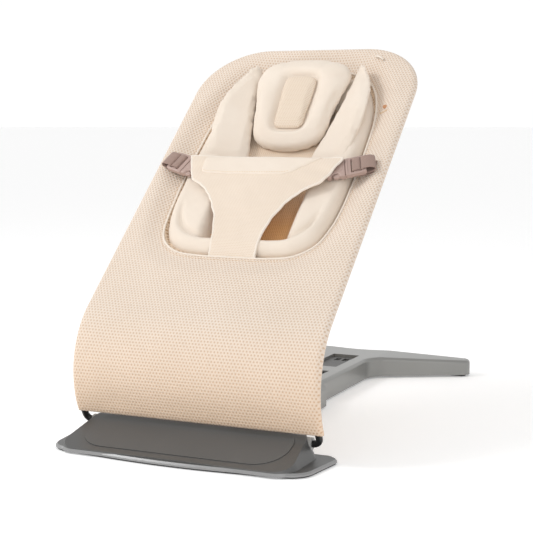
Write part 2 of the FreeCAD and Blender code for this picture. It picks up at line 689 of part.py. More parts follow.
def make_carriage():
    """The block on the prop's foot: two slots for the prop's eyes, bores for its pin and the latches."""
    width, length = float(d.carriage_width), float(d.carriage_length)
    high = float(d.carriage_height)
    low = PROP_FOOT.z - 11.5
    block = Part.makeBox(width, length, high, Vec(-width / 2, PROP_FOOT.y - length / 2, low))
    for sign in (-1, 1):
        slot = Part.makeBox(10, length / 2 + 9.5, 40,
                            Vec(sign * float(d.prop_half_span) - 5, PROP_FOOT.y - length / 2 - 1, low + 3))
        block = block.cut(slot)
    block = block.cut(across(float(d.foot_pin_radius) + 0.01, width + 2, PROP_FOOT))
    block = block.cut(across(float(d.latch_radius) + 0.05, width + 2, latch_line()))
    spring_pocket = Part.makeCylinder(2.9, 20, Vec(0, PROP_FOOT.y - 9, low + 8.5))
    stem_bore = Part.makeCylinder(2.3, 20, Vec(0, PROP_FOOT.y + 8, low + 13))
    node(feature("carriage", block.cut(spring_pocket).cut(stem_bore)), "foot_carriage")
    node(feature("pin", across(float(d.foot_pin_radius), width - 0.4, PROP_FOOT)), "foot_pin")

    turns = Part.makeHelix(2.2, 15.4, 2.2)
    ring = Part.Wire(Part.makeCircle(0.35, Vec(2.2, 0, 0), Y_AXIS))
    spring = turns.makePipeShell([ring], True, True)
    spring.translate(Vec(0, PROP_FOOT.y - 9, low + 8.9))
    node(feature("spring", spring), "button_spring")

    top = low + high
    cap = Part.makeBox(12, 26, 5, Vec(-6, PROP_FOOT.y - 13, top + 4.8))
    cap = cap.makeFillet(1.8, cap.Edges)
    stem = Part.makeCylinder(2, 8, Vec(0, PROP_FOOT.y + 8, top - 1.8))
    node(feature("button", cap.fuse(stem)), "release_button")


def make_latches():
    tip = float(d.track_width) / 2 - float(d.track_wall) - 0.4
    for side, sign in (("left", -1), ("right", 1)):
        start = latch_line() + X_AXIS * (sign * tip)
        latch = Part.makeCylinder(float(d.latch_radius), 12, start, X_AXIS * -sign)
        node(feature(f"latch_{side}", latch), f"latch_pin_{side}")


# ---------------------------------------------------------------- soft parts

def lower_cover_section(offset):
    """The bent strip of the lower cover between two offsets of the seat line, as a face."""
    begin = KNEE_BEGIN + float(d.cover_start) / float(d.knee_radius)
    middle = (begin + KNEE_END) / 2
    split = float(d.frame_split)
    inner, outer = -offset, offset
    edges = [Part.Arc(knee_point(begin, outer), knee_point(middle, outer), knee_point(KNEE_END, outer)),
             Part.LineSegment(knee_point(KNEE_END, outer), seat_point(split, outer)),
             Part.LineSegment(seat_point(split, outer), seat_point(split, inner)),
             Part.LineSegment(seat_point(split, inner), knee_point(KNEE_END, inner)),
             Part.Arc(knee_point(KNEE_END, inner), knee_point(middle, inner), knee_point(begin, inner)),
             Part.LineSegment(knee_point(begin, inner), knee_point(begin, outer))]
    return Part.Face(Part.Wire([edge.toShape() for edge in edges]))


def make_lower_cover():
    half = float(d.cover_half_width)
    thick = float(d.cover_thickness) / 2
    solid = lower_cover_section(thick)
    solid.translate(X_AXIS * -half)
    solid = solid.extrude(X_AXIS * (2 * half))
    for sign in (-1, 1):
        notch = bracket_block(sign, float(d.bar_seat_mark) - 30, 40, 1.0)
        notch.Placement = SEAT_PLACE.multiply(notch.Placement)
        channel = tube(lower_path(sign, 15), float(d.tube_radius) + 0.4)
        solid = solid.cut(notch.fuse(channel))
    node(feature("cover_low", solid), "cover_lower")


def pouch_levels():
    """The pouch's rounded sections from its rim down: level, half width, low, high, corner radius."""
    rim_low, rim_high, rim_half = 285.5, 714.5, 145.5
    return [(6.0, rim_half, rim_low, rim_high, 70.0), (-15.0, 138.0, 291.0, 701.0, 66.0),
            (-32.0, 118.0, 305.0, 640.0, 58.0), (-45.0, 85.0, 325.0, 480.0, 44.0)]


def bowl(inset, top=40.0):
    """A solid bowl shape, moved in and up from the pouch's outer sections by an inset, and cut off flat."""
    sections = [(40.0, *pouch_levels()[0][1:])] + pouch_levels()
    wires = []
    for level, half, low, high, radius in sections:
        wires.append(rounded_wire(inset - half, half - inset, low + inset, high - inset,
                                  radius - inset * 0.6, level + inset))
    above = Part.makeBox(600, 900, 100, Vec(-300, 0, top))
    return Part.makeLoft(wires, True, True).cut(above)


def make_upper_cover():
    half = float(d.cover_half_width)
    thick = float(d.cover_thickness) / 2
    low = float(d.frame_split) + float(d.split_gap)
    high = float(d.cover_top)
    r = float(d.cover_corner)
    bend = r * (1 - math.sqrt(0.5))
    edges = [Part.LineSegment(Vec(-half, low, -thick), Vec(half, low, -thick)),
             Part.LineSegment(Vec(half, low, -thick), Vec(half, high - r, -thick)),
             Part.Arc(Vec(half, high - r, -thick), Vec(half - bend, high - bend, -thick),
                      Vec(half - r, high, -thick)),
             Part.LineSegment(Vec(half - r, high, -thick), Vec(r - half, high, -thick)),
             Part.Arc(Vec(r - half, high, -thick), Vec(bend - half, high - bend, -thick),
                      Vec(-half, high - r, -thick)),
             Part.LineSegment(Vec(-half, high - r, -thick), Vec(-half, low, -thick))]
    solid = Part.Face(Part.Wire([edge.toShape() for edge in edges])).extrude(Vec(0, 0, 2 * thick))
    _, rim_half, rim_low, rim_high, rim_radius = pouch_levels()[0]
    gap = float(d.pouch_gap)
    hole = Part.Face(rounded_wire(-rim_half - gap, rim_half + gap, rim_low - gap, rim_high + gap,
                                  rim_radius, -20)).extrude(Vec(0, 0, 40))
    solid = solid.cut(hole).cut(tube(hoop_path(), float(d.tube_radius) + 0.3))
    node(feature("cover_up", solid, SEAT_PLACE), "cover_upper")


def make_pouch_and_insert():
    wall, pad_wall, gap = float(d.pouch_wall), float(d.insert_wall), float(d.soft_gap)
    pouch = bowl(0, 6.0).cut(bowl(wall))
    node(feature("pouch", pouch, SEAT_PLACE), "seat_pouch")
    inner = wall + gap
    insert = bowl(inner, 4.5).cut(bowl(inner + pad_wall))
    node(feature("insert", insert, SEAT_PLACE), "insert_pad")


def make_wings():
    section = [(88, -6.5), (94, -9.5), (104, -6.5), (115, 4), (119, 14), (109, 15), (91, 3)]
    for side, sign in (("left", -1), ("right", 1)):
        points = [Vec(sign * x, 500, z) for x, z in section]
        wing = prism(points, Vec(0, 140, 0))
        node(feature(f"wing_{side}", wing, SEAT_PLACE), f"insert_wing_{side}")


def tilted_seat_place(mark, height, tilt):
    """A place on the seat whose plane tips forward by a further angle."""
    return SEAT_PLACE.multiply(Placement(Vec(0, mark, height), Rotation(X_AXIS, tilt)))


def make_headrest():
    place_on = tilted_seat_place(522, -24.8, float(d.headrest_tilt))
    headrest = plate("headrest_body", -d.headrest_width / 2, d.headrest_width / 2, Size(0, "0"),
                     d.headrest_length + 15, Size(52, "52"), Size(0, "0"), d.headrest_thickness)
    headrest.Placement = place_on
    node(headrest, "headrest_pad")
    core = plate("core_body", -d.core_width / 2, d.core_width / 2, Size(54, "54"), d.core_length + 54,
                 Size(22, "22"), d.headrest_thickness + 0.4, d.core_thickness)
    core.Placement = place_on
    node(core, "headrest_core")


def make_bib():
    """The T-shaped harness front: a waistband across, and a crotch panel down to the pouch's rim."""
    height, thick = float(d.bib_height), float(d.bib_thickness)
    half = float(d.bib_half_width)
    band = [(-118, 430), (-78, 404), (78, 404), (118, 430), (half, 476), (-half, 476)]
    top = prism([Vec(x, y, height) for x, y in band], Vec(0, 0, thick))
    shape_low = [Vec(-38, 289, 8), Vec(38, 289, 8), Vec(38, 289, 8 + thick), Vec(-38, 289, 8 + thick)]
    shape_high = [Vec(-64, 406, height), Vec(64, 406, height), Vec(64, 406, height + thick),
                  Vec(-64, 406, height + thick)]
    wires = [Part.makePolygon(points + points[:1]) for points in (shape_low, shape_high)]
    crotch = Part.makeLoft(wires, True, True)
    bib = top.fuse(crotch).removeSplitter()
    node(feature("bib", bib, SEAT_PLACE), "harness_bib")


def make_trim():
    """The small cover button and the fabric loop beside the headrest."""
    top = float(d.cover_thickness) / 2 + 0.2
    button = Part.makeCylinder(3.6, 2.2, Vec(153, 619, top))
    node(feature("button_disc", button, SEAT_PLACE), "cover_button")
    loop = Part.makeBox(16, 9, 2, Vec(108, 727, top))
    node(feature("loop_patch", loop, SEAT_PLACE), "cover_loop")


# ---------------------------------------------------------------- buckles

def buckle_place(sign):
    """Local frame of one buckle: x outwards along its axis, y across it, z out of the seat."""
    angle = float(d.buckle_tilt) if sign > 0 else 180 - float(d.buckle_tilt)
    start = Vec(sign * float(d.buckle_inner), float(d.buckle_mark), float(d.buckle_height))
    return SEAT_PLACE.multiply(Placement(start, Rotation(Z_AXIS, angle)))


def make_socket():
    width, length, thick = float(d.socket_width), float(d.socket_length), float(d.socket_thickness)
    outer = Part.makeBox(length, width, thick, Vec(0, -width / 2, -thick / 2))
    outer = outer.makeFillet(3.2, outer.Edges)
    cavity = Part.makeBox(length, width - 8, thick - 3.6, Vec(3, -width / 2 + 4, -thick / 2 + 1.8))
    windows = Part.makeBox(9, width + 4, 4.2, Vec(8, -width / 2 - 2, -2.1))
    return outer.cut(cavity).cut(windows)


def make_plug():
    """The plug: two springy prongs, a guide tongue, and a ladder of two bars for the webbing."""
    width, start = float(d.socket_width), float(d.socket_length) + 0.5
    length, reach = float(d.plug_length), float(d.prong_length)
    body = Part.makeBox(length, width, 8, Vec(start, -width / 2, -4))
    body = body.makeFillet(2.4, body.Edges)
    slot = float(d.webbing_width) + 1
    for offset in (8.8, 21.8):
        body = body.cut(Part.makeBox(3.4, slot, 20, Vec(start + offset, -slot / 2, -10)))
    parts = []
    for sign in (-1, 1):
        parts.append(Part.makeBox(reach + 3, 3.6, 4, Vec(start - reach, sign * 11.5 - 1.8, -2)))
        parts.append(Part.makeBox(5, 2.6, 4, Vec(start - reach, sign * 13.2 - 1.3, -2)))
    parts.append(Part.makeBox(reach, 3, 3, Vec(start - reach + 3, -1.5, -1.5)))
    return body.multiFuse(parts)


def make_buckles():
    width, thin = float(d.webbing_width), float(d.webbing_thickness)
    for side, sign in (("left", -1), ("right", 1)):
        local = buckle_place(sign)
        node(feature(f"socket_{side}", make_socket(), local), f"buckle_socket_{side}")
        node(feature(f"plug_{side}", make_plug(), local), f"buckle_plug_{side}")
        start = float(d.socket_length) + 0.5
        loop = Part.makeBox(33, width, thin, Vec(start + 6, -width / 2, 4.2))
        node(feature(f"loop_{side}", loop, local), f"strap_loop_{side}")
        anchor = Part.makeBox(34, width, thin, Vec(start + 12, -width / 2, -6.4))
        node(feature(f"anchor_{side}", anchor, local), f"strap_anchor_{side}")


# ---------------------------------------------------------------- build, check and write

def build():
    make_front_foot()
    make_bushes()
    make_spine_front()
    make_rear_base()
    make_rear_details()
    make_track()
    make_screws()
    make_lower_tubes()
    make_hoop()
    make_cross_bar()
    make_prop()
    make_carriage()
    make_latches()
    make_lower_cover()
    make_upper_cover()
    make_pouch_and_insert()
    make_wings()
    make_headrest()
    make_bib()
    make_trim()
    make_buckles()
    doc.recompute()


def write_parts():
    for obj in doc.Objects:
        if "Invalid" in obj.State or "Error" in obj.State:
            raise RuntimeError(f"{obj.Name} failed: {obj.State}")
    for obj in NODES:
        if obj.Shape.isNull() or not obj.Shape.isValid() or not obj.Shape.Solids:
            raise RuntimeError(f"{obj.Label} has a bad shape")
    os.makedirs("parts", exist_ok=True)
    for obj in NODES:
        obj.Shape.exportStep(f"parts/{obj.Label}.step")
        bounds = obj.Shape.BoundBox
        print(f"{obj.Label:24s} solids {len(obj.Shape.Solids)} volume {obj.Shape.Volume / 1000:9.1f} cm3 "
              f"x {bounds.XMin:7.1f} {bounds.XMax:7.1f} y {bounds.YMin:7.1f} {bounds.YMax:7.1f} "
              f"z {bounds.ZMin:6.1f} {bounds.ZMax:6.1f}")


build()
write_parts()
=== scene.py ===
import bmesh
import bpy
import math
from mathutils import Matrix, Vector, noise


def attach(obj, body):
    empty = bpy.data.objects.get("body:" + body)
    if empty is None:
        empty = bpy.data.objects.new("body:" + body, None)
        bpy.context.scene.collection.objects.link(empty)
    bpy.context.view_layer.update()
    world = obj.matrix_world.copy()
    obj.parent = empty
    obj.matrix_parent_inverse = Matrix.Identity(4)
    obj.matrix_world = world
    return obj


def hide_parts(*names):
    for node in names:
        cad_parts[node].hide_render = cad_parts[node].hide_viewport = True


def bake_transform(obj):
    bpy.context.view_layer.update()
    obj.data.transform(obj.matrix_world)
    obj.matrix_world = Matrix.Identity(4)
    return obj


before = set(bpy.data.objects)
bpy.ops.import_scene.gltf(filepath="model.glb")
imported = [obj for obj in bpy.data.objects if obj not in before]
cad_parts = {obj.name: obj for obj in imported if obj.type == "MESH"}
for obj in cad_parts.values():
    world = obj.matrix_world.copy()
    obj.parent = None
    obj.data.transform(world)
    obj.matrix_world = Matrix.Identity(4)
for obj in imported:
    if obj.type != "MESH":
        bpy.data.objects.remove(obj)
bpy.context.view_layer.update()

# Looks of the baby bouncer seat, in metres, in the CAD's frame. Soft pieces are drawn in the seat's own
# frame (x across, s along the seat line from its lower end, h out of the sitter's side).

LEAN = math.radians(41.8)
KNEE_RADIUS, KNEE_Y, KNEE_Z = 0.125, -0.195, 0.1
KNEE_BEGIN, KNEE_END = math.radians(-30), math.pi / 2 - LEAN
KNEE_LENGTH = KNEE_RADIUS * (KNEE_END - KNEE_BEGIN)
ALONG = Vector((0, math.cos(LEAN), math.sin(LEAN)))
OUTWARD = Vector((0, -math.sin(LEAN), math.cos(LEAN)))
KNEE_TOP = Vector((0, KNEE_Y - KNEE_RADIUS * math.cos(KNEE_END), KNEE_Z + KNEE_RADIUS * math.sin(KNEE_END)))
SPLIT, TOP, HALF, CORNER, HEM = 0.25, 0.761, 0.1965, 0.11, 0.006


def seat(x, s, h=0.0):
    """A point of the seat: on the bent lower part below the knee's end, on the straight part above."""
    if s >= KNEE_LENGTH:
        return KNEE_TOP + ALONG * (s - KNEE_LENGTH) + OUTWARD * h + Vector((x, 0, 0))
    angle = KNEE_BEGIN + max(s, 0) / KNEE_RADIUS
    reach = KNEE_RADIUS + h
    below = min(s, 0)
    return Vector((x, KNEE_Y - reach * math.cos(angle) + below * math.sin(angle),
                   KNEE_Z + reach * math.sin(angle) + below * math.cos(angle)))


def smooth(low, high, value):
    t = min(max((value - low) / (high - low), 0.0), 1.0)
    return t * t * (3 - 2 * t)


def dome(share):
    """A quarter ellipse: 0 at an edge, 1 inside."""
    return math.sqrt(max(0.0, 1 - (1 - min(max(share, 0.0), 1.0)) ** 2))


def ripple(x, s, size, seed):
    """Smooth irregular waves between about -1 and 1."""
    return noise.noise(Vector((x / size, s / size, seed)))


def along_table(table, value):
    """Smooth reading of a table of (position, value) pairs."""
    if value <= table[0][0]:
        return table[0][1]
    for (a, va), (b, vb) in zip(table, table[1:]):
        if value <= b:
            return va + (vb - va) * smooth(a, b, value) * 0.5 + (vb - va) * (value - a) / (b - a) * 0.5
    return table[-1][1]


# ---- mesh helpers

def linked(name, data):
    obj = bpy.data.objects.new(name, data)
    bpy.context.scene.collection.objects.link(obj)
    return obj


def shade_smooth(mesh):
    mesh.polygons.foreach_set("use_smooth", [True] * len(mesh.polygons))


def new_object(name, vertices, faces, uvs=None):
    mesh = bpy.data.meshes.new(name)
    mesh.from_pydata([tuple(v) for v in vertices], [], faces)
    mesh.update()
    if uvs:
        layer = mesh.uv_layers.new(name="weave")
        for loop in mesh.loops:
            layer.data[loop.index].uv = uvs[loop.vertex_index]
    shade_smooth(mesh)
    return linked(name, mesh)


def clean(obj, distance=1e-5):
    """Merges doubled vertices, closes gaps and turns every face outwards."""
    bm = bmesh.new()
    bm.from_mesh(obj.data)
    bmesh.ops.remove_doubles(bm, verts=bm.verts, dist=distance)
    bmesh.ops.dissolve_degenerate(bm, edges=bm.edges, dist=1e-6)
    bmesh.ops.holes_fill(bm, edges=[edge for edge in bm.edges if edge.is_boundary], sides=0)
    bmesh.ops.recalc_face_normals(bm, faces=bm.faces)
    bm.to_mesh(obj.data)
    bm.free()
    return obj


def apply_modifiers(obj):
    depsgraph = bpy.context.evaluated_depsgraph_get()
    mesh = bpy.data.meshes.new_from_object(obj.evaluated_get(depsgraph))
    obj.modifiers.clear()
    old = obj.data
    obj.data = mesh
    bpy.data.meshes.remove(old)
    shade_smooth(mesh)
    return obj


def subdivide(obj):
    modifier = obj.modifiers.new("subdivision", "SUBSURF")
    modifier.levels = modifier.render_levels = 1
    return apply_modifiers(obj)


def patch(rows, columns, point):
    """Vertices and quads of an open grid; point(i, j) gives (x, s, h)."""
    vertices = [point(i, j) for i in range(rows) for j in range(columns)]
    faces = [(i * columns + j, i * columns + j + 1, (i + 1) * columns + j + 1, (i + 1) * columns + j)
             for i in range(rows - 1) for j in range(columns - 1)]
    return vertices, faces


def both_faces(rows, columns, point):
    """The front (1) and back (-1) grids of a flat piece; point(i, j, face) gives (x, s, h)."""
    return [patch(rows, columns, lambda i, j: point(i, j, face)) for face in (1, -1)]


def ring_faces(rings, count, start=0):
    """Quads between closed rings of count points that follow each other."""
    return [(a, b, b + count, a + count) for first in range(start, start + (rings - 1) * count, count)
            for a, b in ((first + k, first + (k + 1) % count) for k in range(count))]


def pad_faces(outline, middle, shares, point):
    """Both faces of a pad as rings round its middle; point(at, share, face) gives (x, s, h)."""
    faces = ring_faces(len(shares), len(outline))
    return [([point(middle.lerp(p, share), share, face) for share in shares for p in outline], faces)
            for face in (1, -1)]


def seat_object(name, parts, merge=1e-5):
    """One object from several patches given in seat coordinates; the weave map is (x, s)."""
    vertices, faces, uvs = [], [], []
    for points, quads in parts:
        start = len(vertices)
        vertices += [seat(*p) for p in points]
        uvs += [(p[0], p[1]) for p in points]
        faces += [tuple(start + k for k in face) for face in quads]
    return clean(new_object(name, vertices, faces, uvs), merge)


def weave_map(obj):
    """Gives a piece the weave map (x, s) from where its points are on the seat."""
    mesh = obj.data
    layer = mesh.uv_layers.get("weave") or mesh.uv_layers.new(name="weave")
    for loop in mesh.loops:
        co = mesh.vertices[loop.vertex_index].co
        layer.data[loop.index].uv = (co.x, (co - KNEE_TOP).dot(ALONG) + KNEE_LENGTH)
    return obj


def catmull_rom(p0, p1, p2, p3, t):
    return 0.5 * (2 * p1 + (p2 - p0) * t + (2 * p0 - 5 * p1 + 4 * p2 - p3) * t * t
                  + (3 * p1 - p0 - 3 * p2 + p3) * t ** 3)


def smooth_closed(points, count):
    """Points evenly spaced on a smooth closed curve through the given (x, s) points."""
    dense = []
    n = len(points)
    for i in range(n):
        near = [Vector(points[(i + k) % n]) for k in (-1, 0, 1, 2)]
        dense += [catmull_rom(*near, step / 24) for step in range(24)]
    lengths = [0.0]
    for a, b in zip(dense, dense[1:] + dense[:1]):
        lengths.append(lengths[-1] + (b - a).length)
    result = []
    k = 0
    for i in range(count):
        target = lengths[-1] * i / count
        while lengths[k + 1] < target:
            k += 1
        share = (target - lengths[k]) / max(lengths[k + 1] - lengths[k], 1e-9)
        result.append(dense[k].lerp(dense[(k + 1) % len(dense)], share))
    return result


def mirror_loop(half):
    """A closed outline from its right half, bottom to top."""
    return half + [(-x, s) for x, s in reversed(half) if abs(x) > 1e-6]


def add_spline(curve, points, closed):
    spline = curve.splines.new("POLY")
    spline.points.add(len(points) - 1)
    for target, point in zip(spline.points, points):
        target.co = (*point, 1)
    spline.use_cyclic_u = closed


def mesh_from_curve(name, curve):
    """A mesh object made from a curve, which is then removed."""
    obj = linked(name, curve)
    depsgraph = bpy.context.evaluated_depsgraph_get()
    mesh = bpy.data.meshes.new_from_object(obj.evaluated_get(depsgraph))
    bpy.data.objects.remove(obj)
    bpy.data.curves.remove(curve)
    shade_smooth(mesh)
    return linked(name, mesh)


def tube_along(name, points, radius, closed=False):
    """A soft round cord, piping or thread along points in the row's frame."""
    curve = bpy.data.curves.new(name, "CURVE")
    curve.dimensions = "3D"
    curve.bevel_depth = radius
    curve.bevel_resolution = 2
    add_spline(curve, points, closed)
    return mesh_from_curve(name, curve)


def join(name, objects):
    """One piece from several meshes that keep their materials."""
    with bpy.context.temp_override(active_object=objects[0], selected_editable_objects=objects,
                                   selected_objects=objects, object=objects[0]):
        bpy.ops.object.join()
    objects[0].name = name
    objects[0].data.name = name
    return objects[0]


def stitches(name, path, closed=False):
    """A row of short thread stitches lying on a path of points."""
    length, pitch, radius, sides = 0.0026, 0.0042, 0.00042, 6
    points = list(path) + ([path[0]] if closed else [])
    runs, travelled = [], 0.0
    for a, b in zip(points, points[1:]):
        step = (b - a).length
        if step < 1e-9:
            continue
        mark = math.ceil(travelled / pitch) * pitch
        while mark < travelled + step:
            runs.append((a.lerp(b, (mark - travelled) / step), (b - a) / step))
            mark += pitch
        travelled += step
    vertices, faces = [], []
    for middle, direction in runs:
        side = direction.cross(OUTWARD).normalized()
        up = side.cross(direction).normalized()
        base = len(vertices)
        for end, size in ((-0.5, 0.35), (-0.3, 1.0), (0.3, 1.0), (0.5, 0.35)):
            for k in range(sides):
                turn = 2 * math.pi * k / sides
                vertices.append(middle + direction * (end * length)
                                + (side * math.cos(turn) + up * math.sin(turn)) * (radius * size))
        faces += ring_faces(4, sides, base)
        faces.append(tuple(base + k for k in reversed(range(sides))))
        faces.append(tuple(base + 3 * sides + k for k in range(sides)))
    return new_object(name, vertices, faces)


def puff(obj, pressure, cap, voxel, pinned=None):
    """Swells a sewn pad with a short cloth simulation and keeps the result, at most cap from the start."""
    frames = 20
    remesh = obj.modifiers.new("remesh", "REMESH")
    remesh.mode = "VOXEL"
    remesh.voxel_size = voxel
    apply_modifiers(obj)
    start = [v.co.copy() for v in obj.data.vertices]
    group = obj.vertex_groups.new(name="pinned")
    for vertex in obj.data.vertices:
        weight = pinned(vertex.co) if pinned else 0.0
        if weight > 0:
            group.add([vertex.index], weight, "REPLACE")
    cloth = obj.modifiers.new("cloth", "CLOTH")
    settings = cloth.settings
    settings.use_pressure = True
    settings.uniform_pressure_force = pressure
    settings.effector_weights.gravity = 0
    settings.quality = 6
    settings.mass = 0.3
    settings.tension_stiffness = settings.compression_stiffness = 12
    settings.bending_stiffness = 0.4
    settings.vertex_group_mass = "pinned"
    cloth.point_cache.frame_start, cloth.point_cache.frame_end = 1, frames
    for number in range(1, frames + 1):
        bpy.context.scene.frame_set(number)
    apply_modifiers(obj)
    bpy.context.scene.frame_set(1)
    for vertex, old in zip(obj.data.vertices, start):
        move = vertex.co - old
        if move.length > cap:
            vertex.co = old + move * (cap / move.length)
    obj.vertex_groups.clear()
    return subdivide(obj)


# ---- materials

def material(name, color, roughness, metallic=0.0, sheen=0.0, specular=0.5):
    mat = bpy.data.materials.new(name)
    mat.use_nodes = True
    shader = mat.node_tree.nodes["Principled BSDF"]
    for socket, value in (("Base Color", (*color, 1)), ("Roughness", roughness), ("Metallic", metallic),
                          ("Sheen Weight", sheen), ("Sheen Roughness", 0.4),
                          ("Specular IOR Level", specular)):
        shader.inputs[socket].default_value = value
    return mat, mat.node_tree.nodes, mat.node_tree.links, shader


def maths(nodes, links, operation, *values):
    """A math node; each value is a number or another node's output."""
    result = nodes.new("ShaderNodeMath")
    result.operation = operation
    for socket, value in zip(result.inputs, values):
        if isinstance(value, (int, float)):
            socket.default_value = value
        else:
            links.new(value, socket)
    return result.outputs[0]


def noise_node(nodes, links, vector, scale, detail=3.0):
    texture = nodes.new("ShaderNodeTexNoise")
    texture.inputs["Scale"].default_value = scale
    texture.inputs["Detail"].default_value = detail
    texture.inputs["Roughness"].default_value = 0.55
    links.new(vector, texture.inputs["Vector"])
    return texture.outputs["Fac"]


def ramp(nodes, links, factor, low, high, low_color, high_color):
    node = nodes.new("ShaderNodeValToRGB")
    first, last = node.color_ramp.elements
    first.position, last.position = low, high
    first.color, last.color = (*low_color, 1), (*high_color, 1)
    links.new(factor, node.inputs["Fac"])
    return node.outputs["Color"]


def multiply_color(nodes, links, a, b):
    mix = nodes.new("ShaderNodeMix")
    mix.data_type, mix.blend_type = "RGBA", "MULTIPLY"
    mix.inputs["Factor"].default_value = 1.0
    links.new(a, mix.inputs[6])
    links.new(b, mix.inputs[7])
    return mix.outputs[2]


def bump(nodes, links, height, distance, strength, shader):
    node = nodes.new("ShaderNodeBump")
    node.inputs["Strength"].default_value = strength
    node.inputs["Distance"].default_value = distance
    links.new(height, node.inputs["Height"])
    links.new(node.outputs["Normal"], shader.inputs["Normal"])


def weave_uv(nodes):
    node = nodes.new("ShaderNodeUVMap")
    node.uv_map = "weave"
    return node.outputs["UV"]


def weave_wave(nodes, links, uv, operation, reach, x, y):
    """Sine or cosine over the weave map in the direction (x, y), with reach radians per metre."""
    dot = nodes.new("ShaderNodeVectorMath")
    dot.operation = "DOT_PRODUCT"
    dot.inputs[1].default_value = (x * reach, y * reach, 0)
    links.new(uv, dot.inputs[0])
    return maths(nodes, links, operation, dot.outputs["Value"])


def mesh_fabric(name, thread, gap, pitch, depth, strength, shade=None):
    """Spacer mesh: rows of small rounded holes in a triangular lattice, from the weave map.

    With shade, the cloth's tint changes along the seat as painted shade: (start, end, lower tint, upper
    tint).
    """
    mat, nodes, links, shader = material(name, thread, 0.85, sheen=0.25, specular=0.25)
    uv = weave_uv(nodes)
    reach = 2 * math.pi / (pitch * math.sqrt(3) / 2)
    first, second, third = (weave_wave(nodes, links, uv, "COSINE", reach, math.cos(angle), math.sin(angle))
                            for angle in map(math.radians, (90, 210, 330)))
    wave_sum = maths(nodes, links, "ADD", maths(nodes, links, "ADD", first, second), third)
    holes = maths(nodes, links, "MULTIPLY_ADD", wave_sum, 1 / 4.5, 1 / 3)
    solid = maths(nodes, links, "SUBTRACT", 1.0, holes)
    weave_color = ramp(nodes, links, solid, 0.3, 0.62, gap, thread)
    soft = noise_node(nodes, links, uv, 9.0)
    tone = ramp(nodes, links, soft, 0.25, 0.75, (0.95, 0.94, 0.925), (1, 1, 1))
    color = multiply_color(nodes, links, weave_color, tone)
    # painted shade: a tint ramp along the seat multiplied into the cloth colour
    if shade:
        split = nodes.new("ShaderNodeSeparateXYZ")
        links.new(uv, split.inputs[0])
        color = multiply_color(nodes, links, color, ramp(nodes, links, split.outputs["Y"], *shade))
    links.new(color, shader.inputs["Base Color"])
    fine = noise_node(nodes, links, uv, 1500.0, 1.0)
    height = maths(nodes, links, "MULTIPLY_ADD", fine, 0.18, solid)
    bump(nodes, links, height, depth, strength, shader)
    return mat


def knit_fabric(name, color, pitch=0.0011, strength=0.5):
    """Fine smooth knit: faint ribs both ways, soft unevenness, from the weave map."""
    mat, nodes, links, shader = material(name, color, 0.9, sheen=0.3, specular=0.2)
    uv = weave_uv(nodes)
    reach = 2 * math.pi / pitch
    ribs = maths(nodes, links, "MULTIPLY", *(weave_wave(nodes, links, uv, "SINE", reach, x, y)
                                             for x, y in ((1, 0.15), (-0.1, 1))))
    soft = noise_node(nodes, links, uv, 14.0)
    low = tuple(c * (1 - 0.04 * (1 + 0.4 * k)) for k, c in enumerate(color))
    links.new(ramp(nodes, links, soft, 0.3, 0.7, low, color), shader.inputs["Base Color"])
    coarse = noise_node(nodes, links, uv, 160.0)
    faint_ribs = maths(nodes, links, "MULTIPLY", ribs, 0.25)
    height = maths(nodes, links, "MULTIPLY_ADD", coarse, 0.9, faint_ribs)
    bump(nodes, links, height, 0.0005, strength, shader)
    return mat


def moulded(name, color, roughness, grain=900.0, strength=0.18, metallic=0.0):
    """Moulded plastic or paint: fine grain, slightly uneven gloss and tone."""
    mat, nodes, links, shader = material(name, color, roughness, metallic)
    where = nodes.new("ShaderNodeTexCoord").outputs["Object"]
    grains = noise_node(nodes, links, where, grain, 2.0)
    cloud = noise_node(nodes, links, where, 7.0, 4.0)
    low = tuple(c * 0.94 for c in color)
    high = tuple(min(1, c * 1.06) for c in color)
    links.new(ramp(nodes, links, cloud, 0.3, 0.7, low, high), shader.inputs["Base Color"])
    gloss = maths(nodes, links, "MULTIPLY_ADD", cloud, 0.1, roughness - 0.05)
    links.new(gloss, shader.inputs["Roughness"])
    bump(nodes, links, grains, 0.0002, strength, shader)
    return mat


def woven(name, color):
    """Flat webbing: close diagonal ribs with darker gaps, from the piece's own map."""
    mat, nodes, links, shader = material(name, color, 0.75, sheen=0.2, specular=0.3)
    uv = weave_uv(nodes)
    reach = 2 * math.pi / 0.0022
    ribs = maths(nodes, links, "MAXIMUM", *(weave_wave(nodes, links, uv, "SINE", reach, 1, y)
                                            for y in (0.6, -0.6)))
    dark = tuple(c * 0.7 for c in color)
    links.new(ramp(nodes, links, ribs, 0.0, 0.8, dark, color), shader.inputs["Base Color"])
    bump(nodes, links, ribs, 0.0004, 0.6, shader)
    return mat


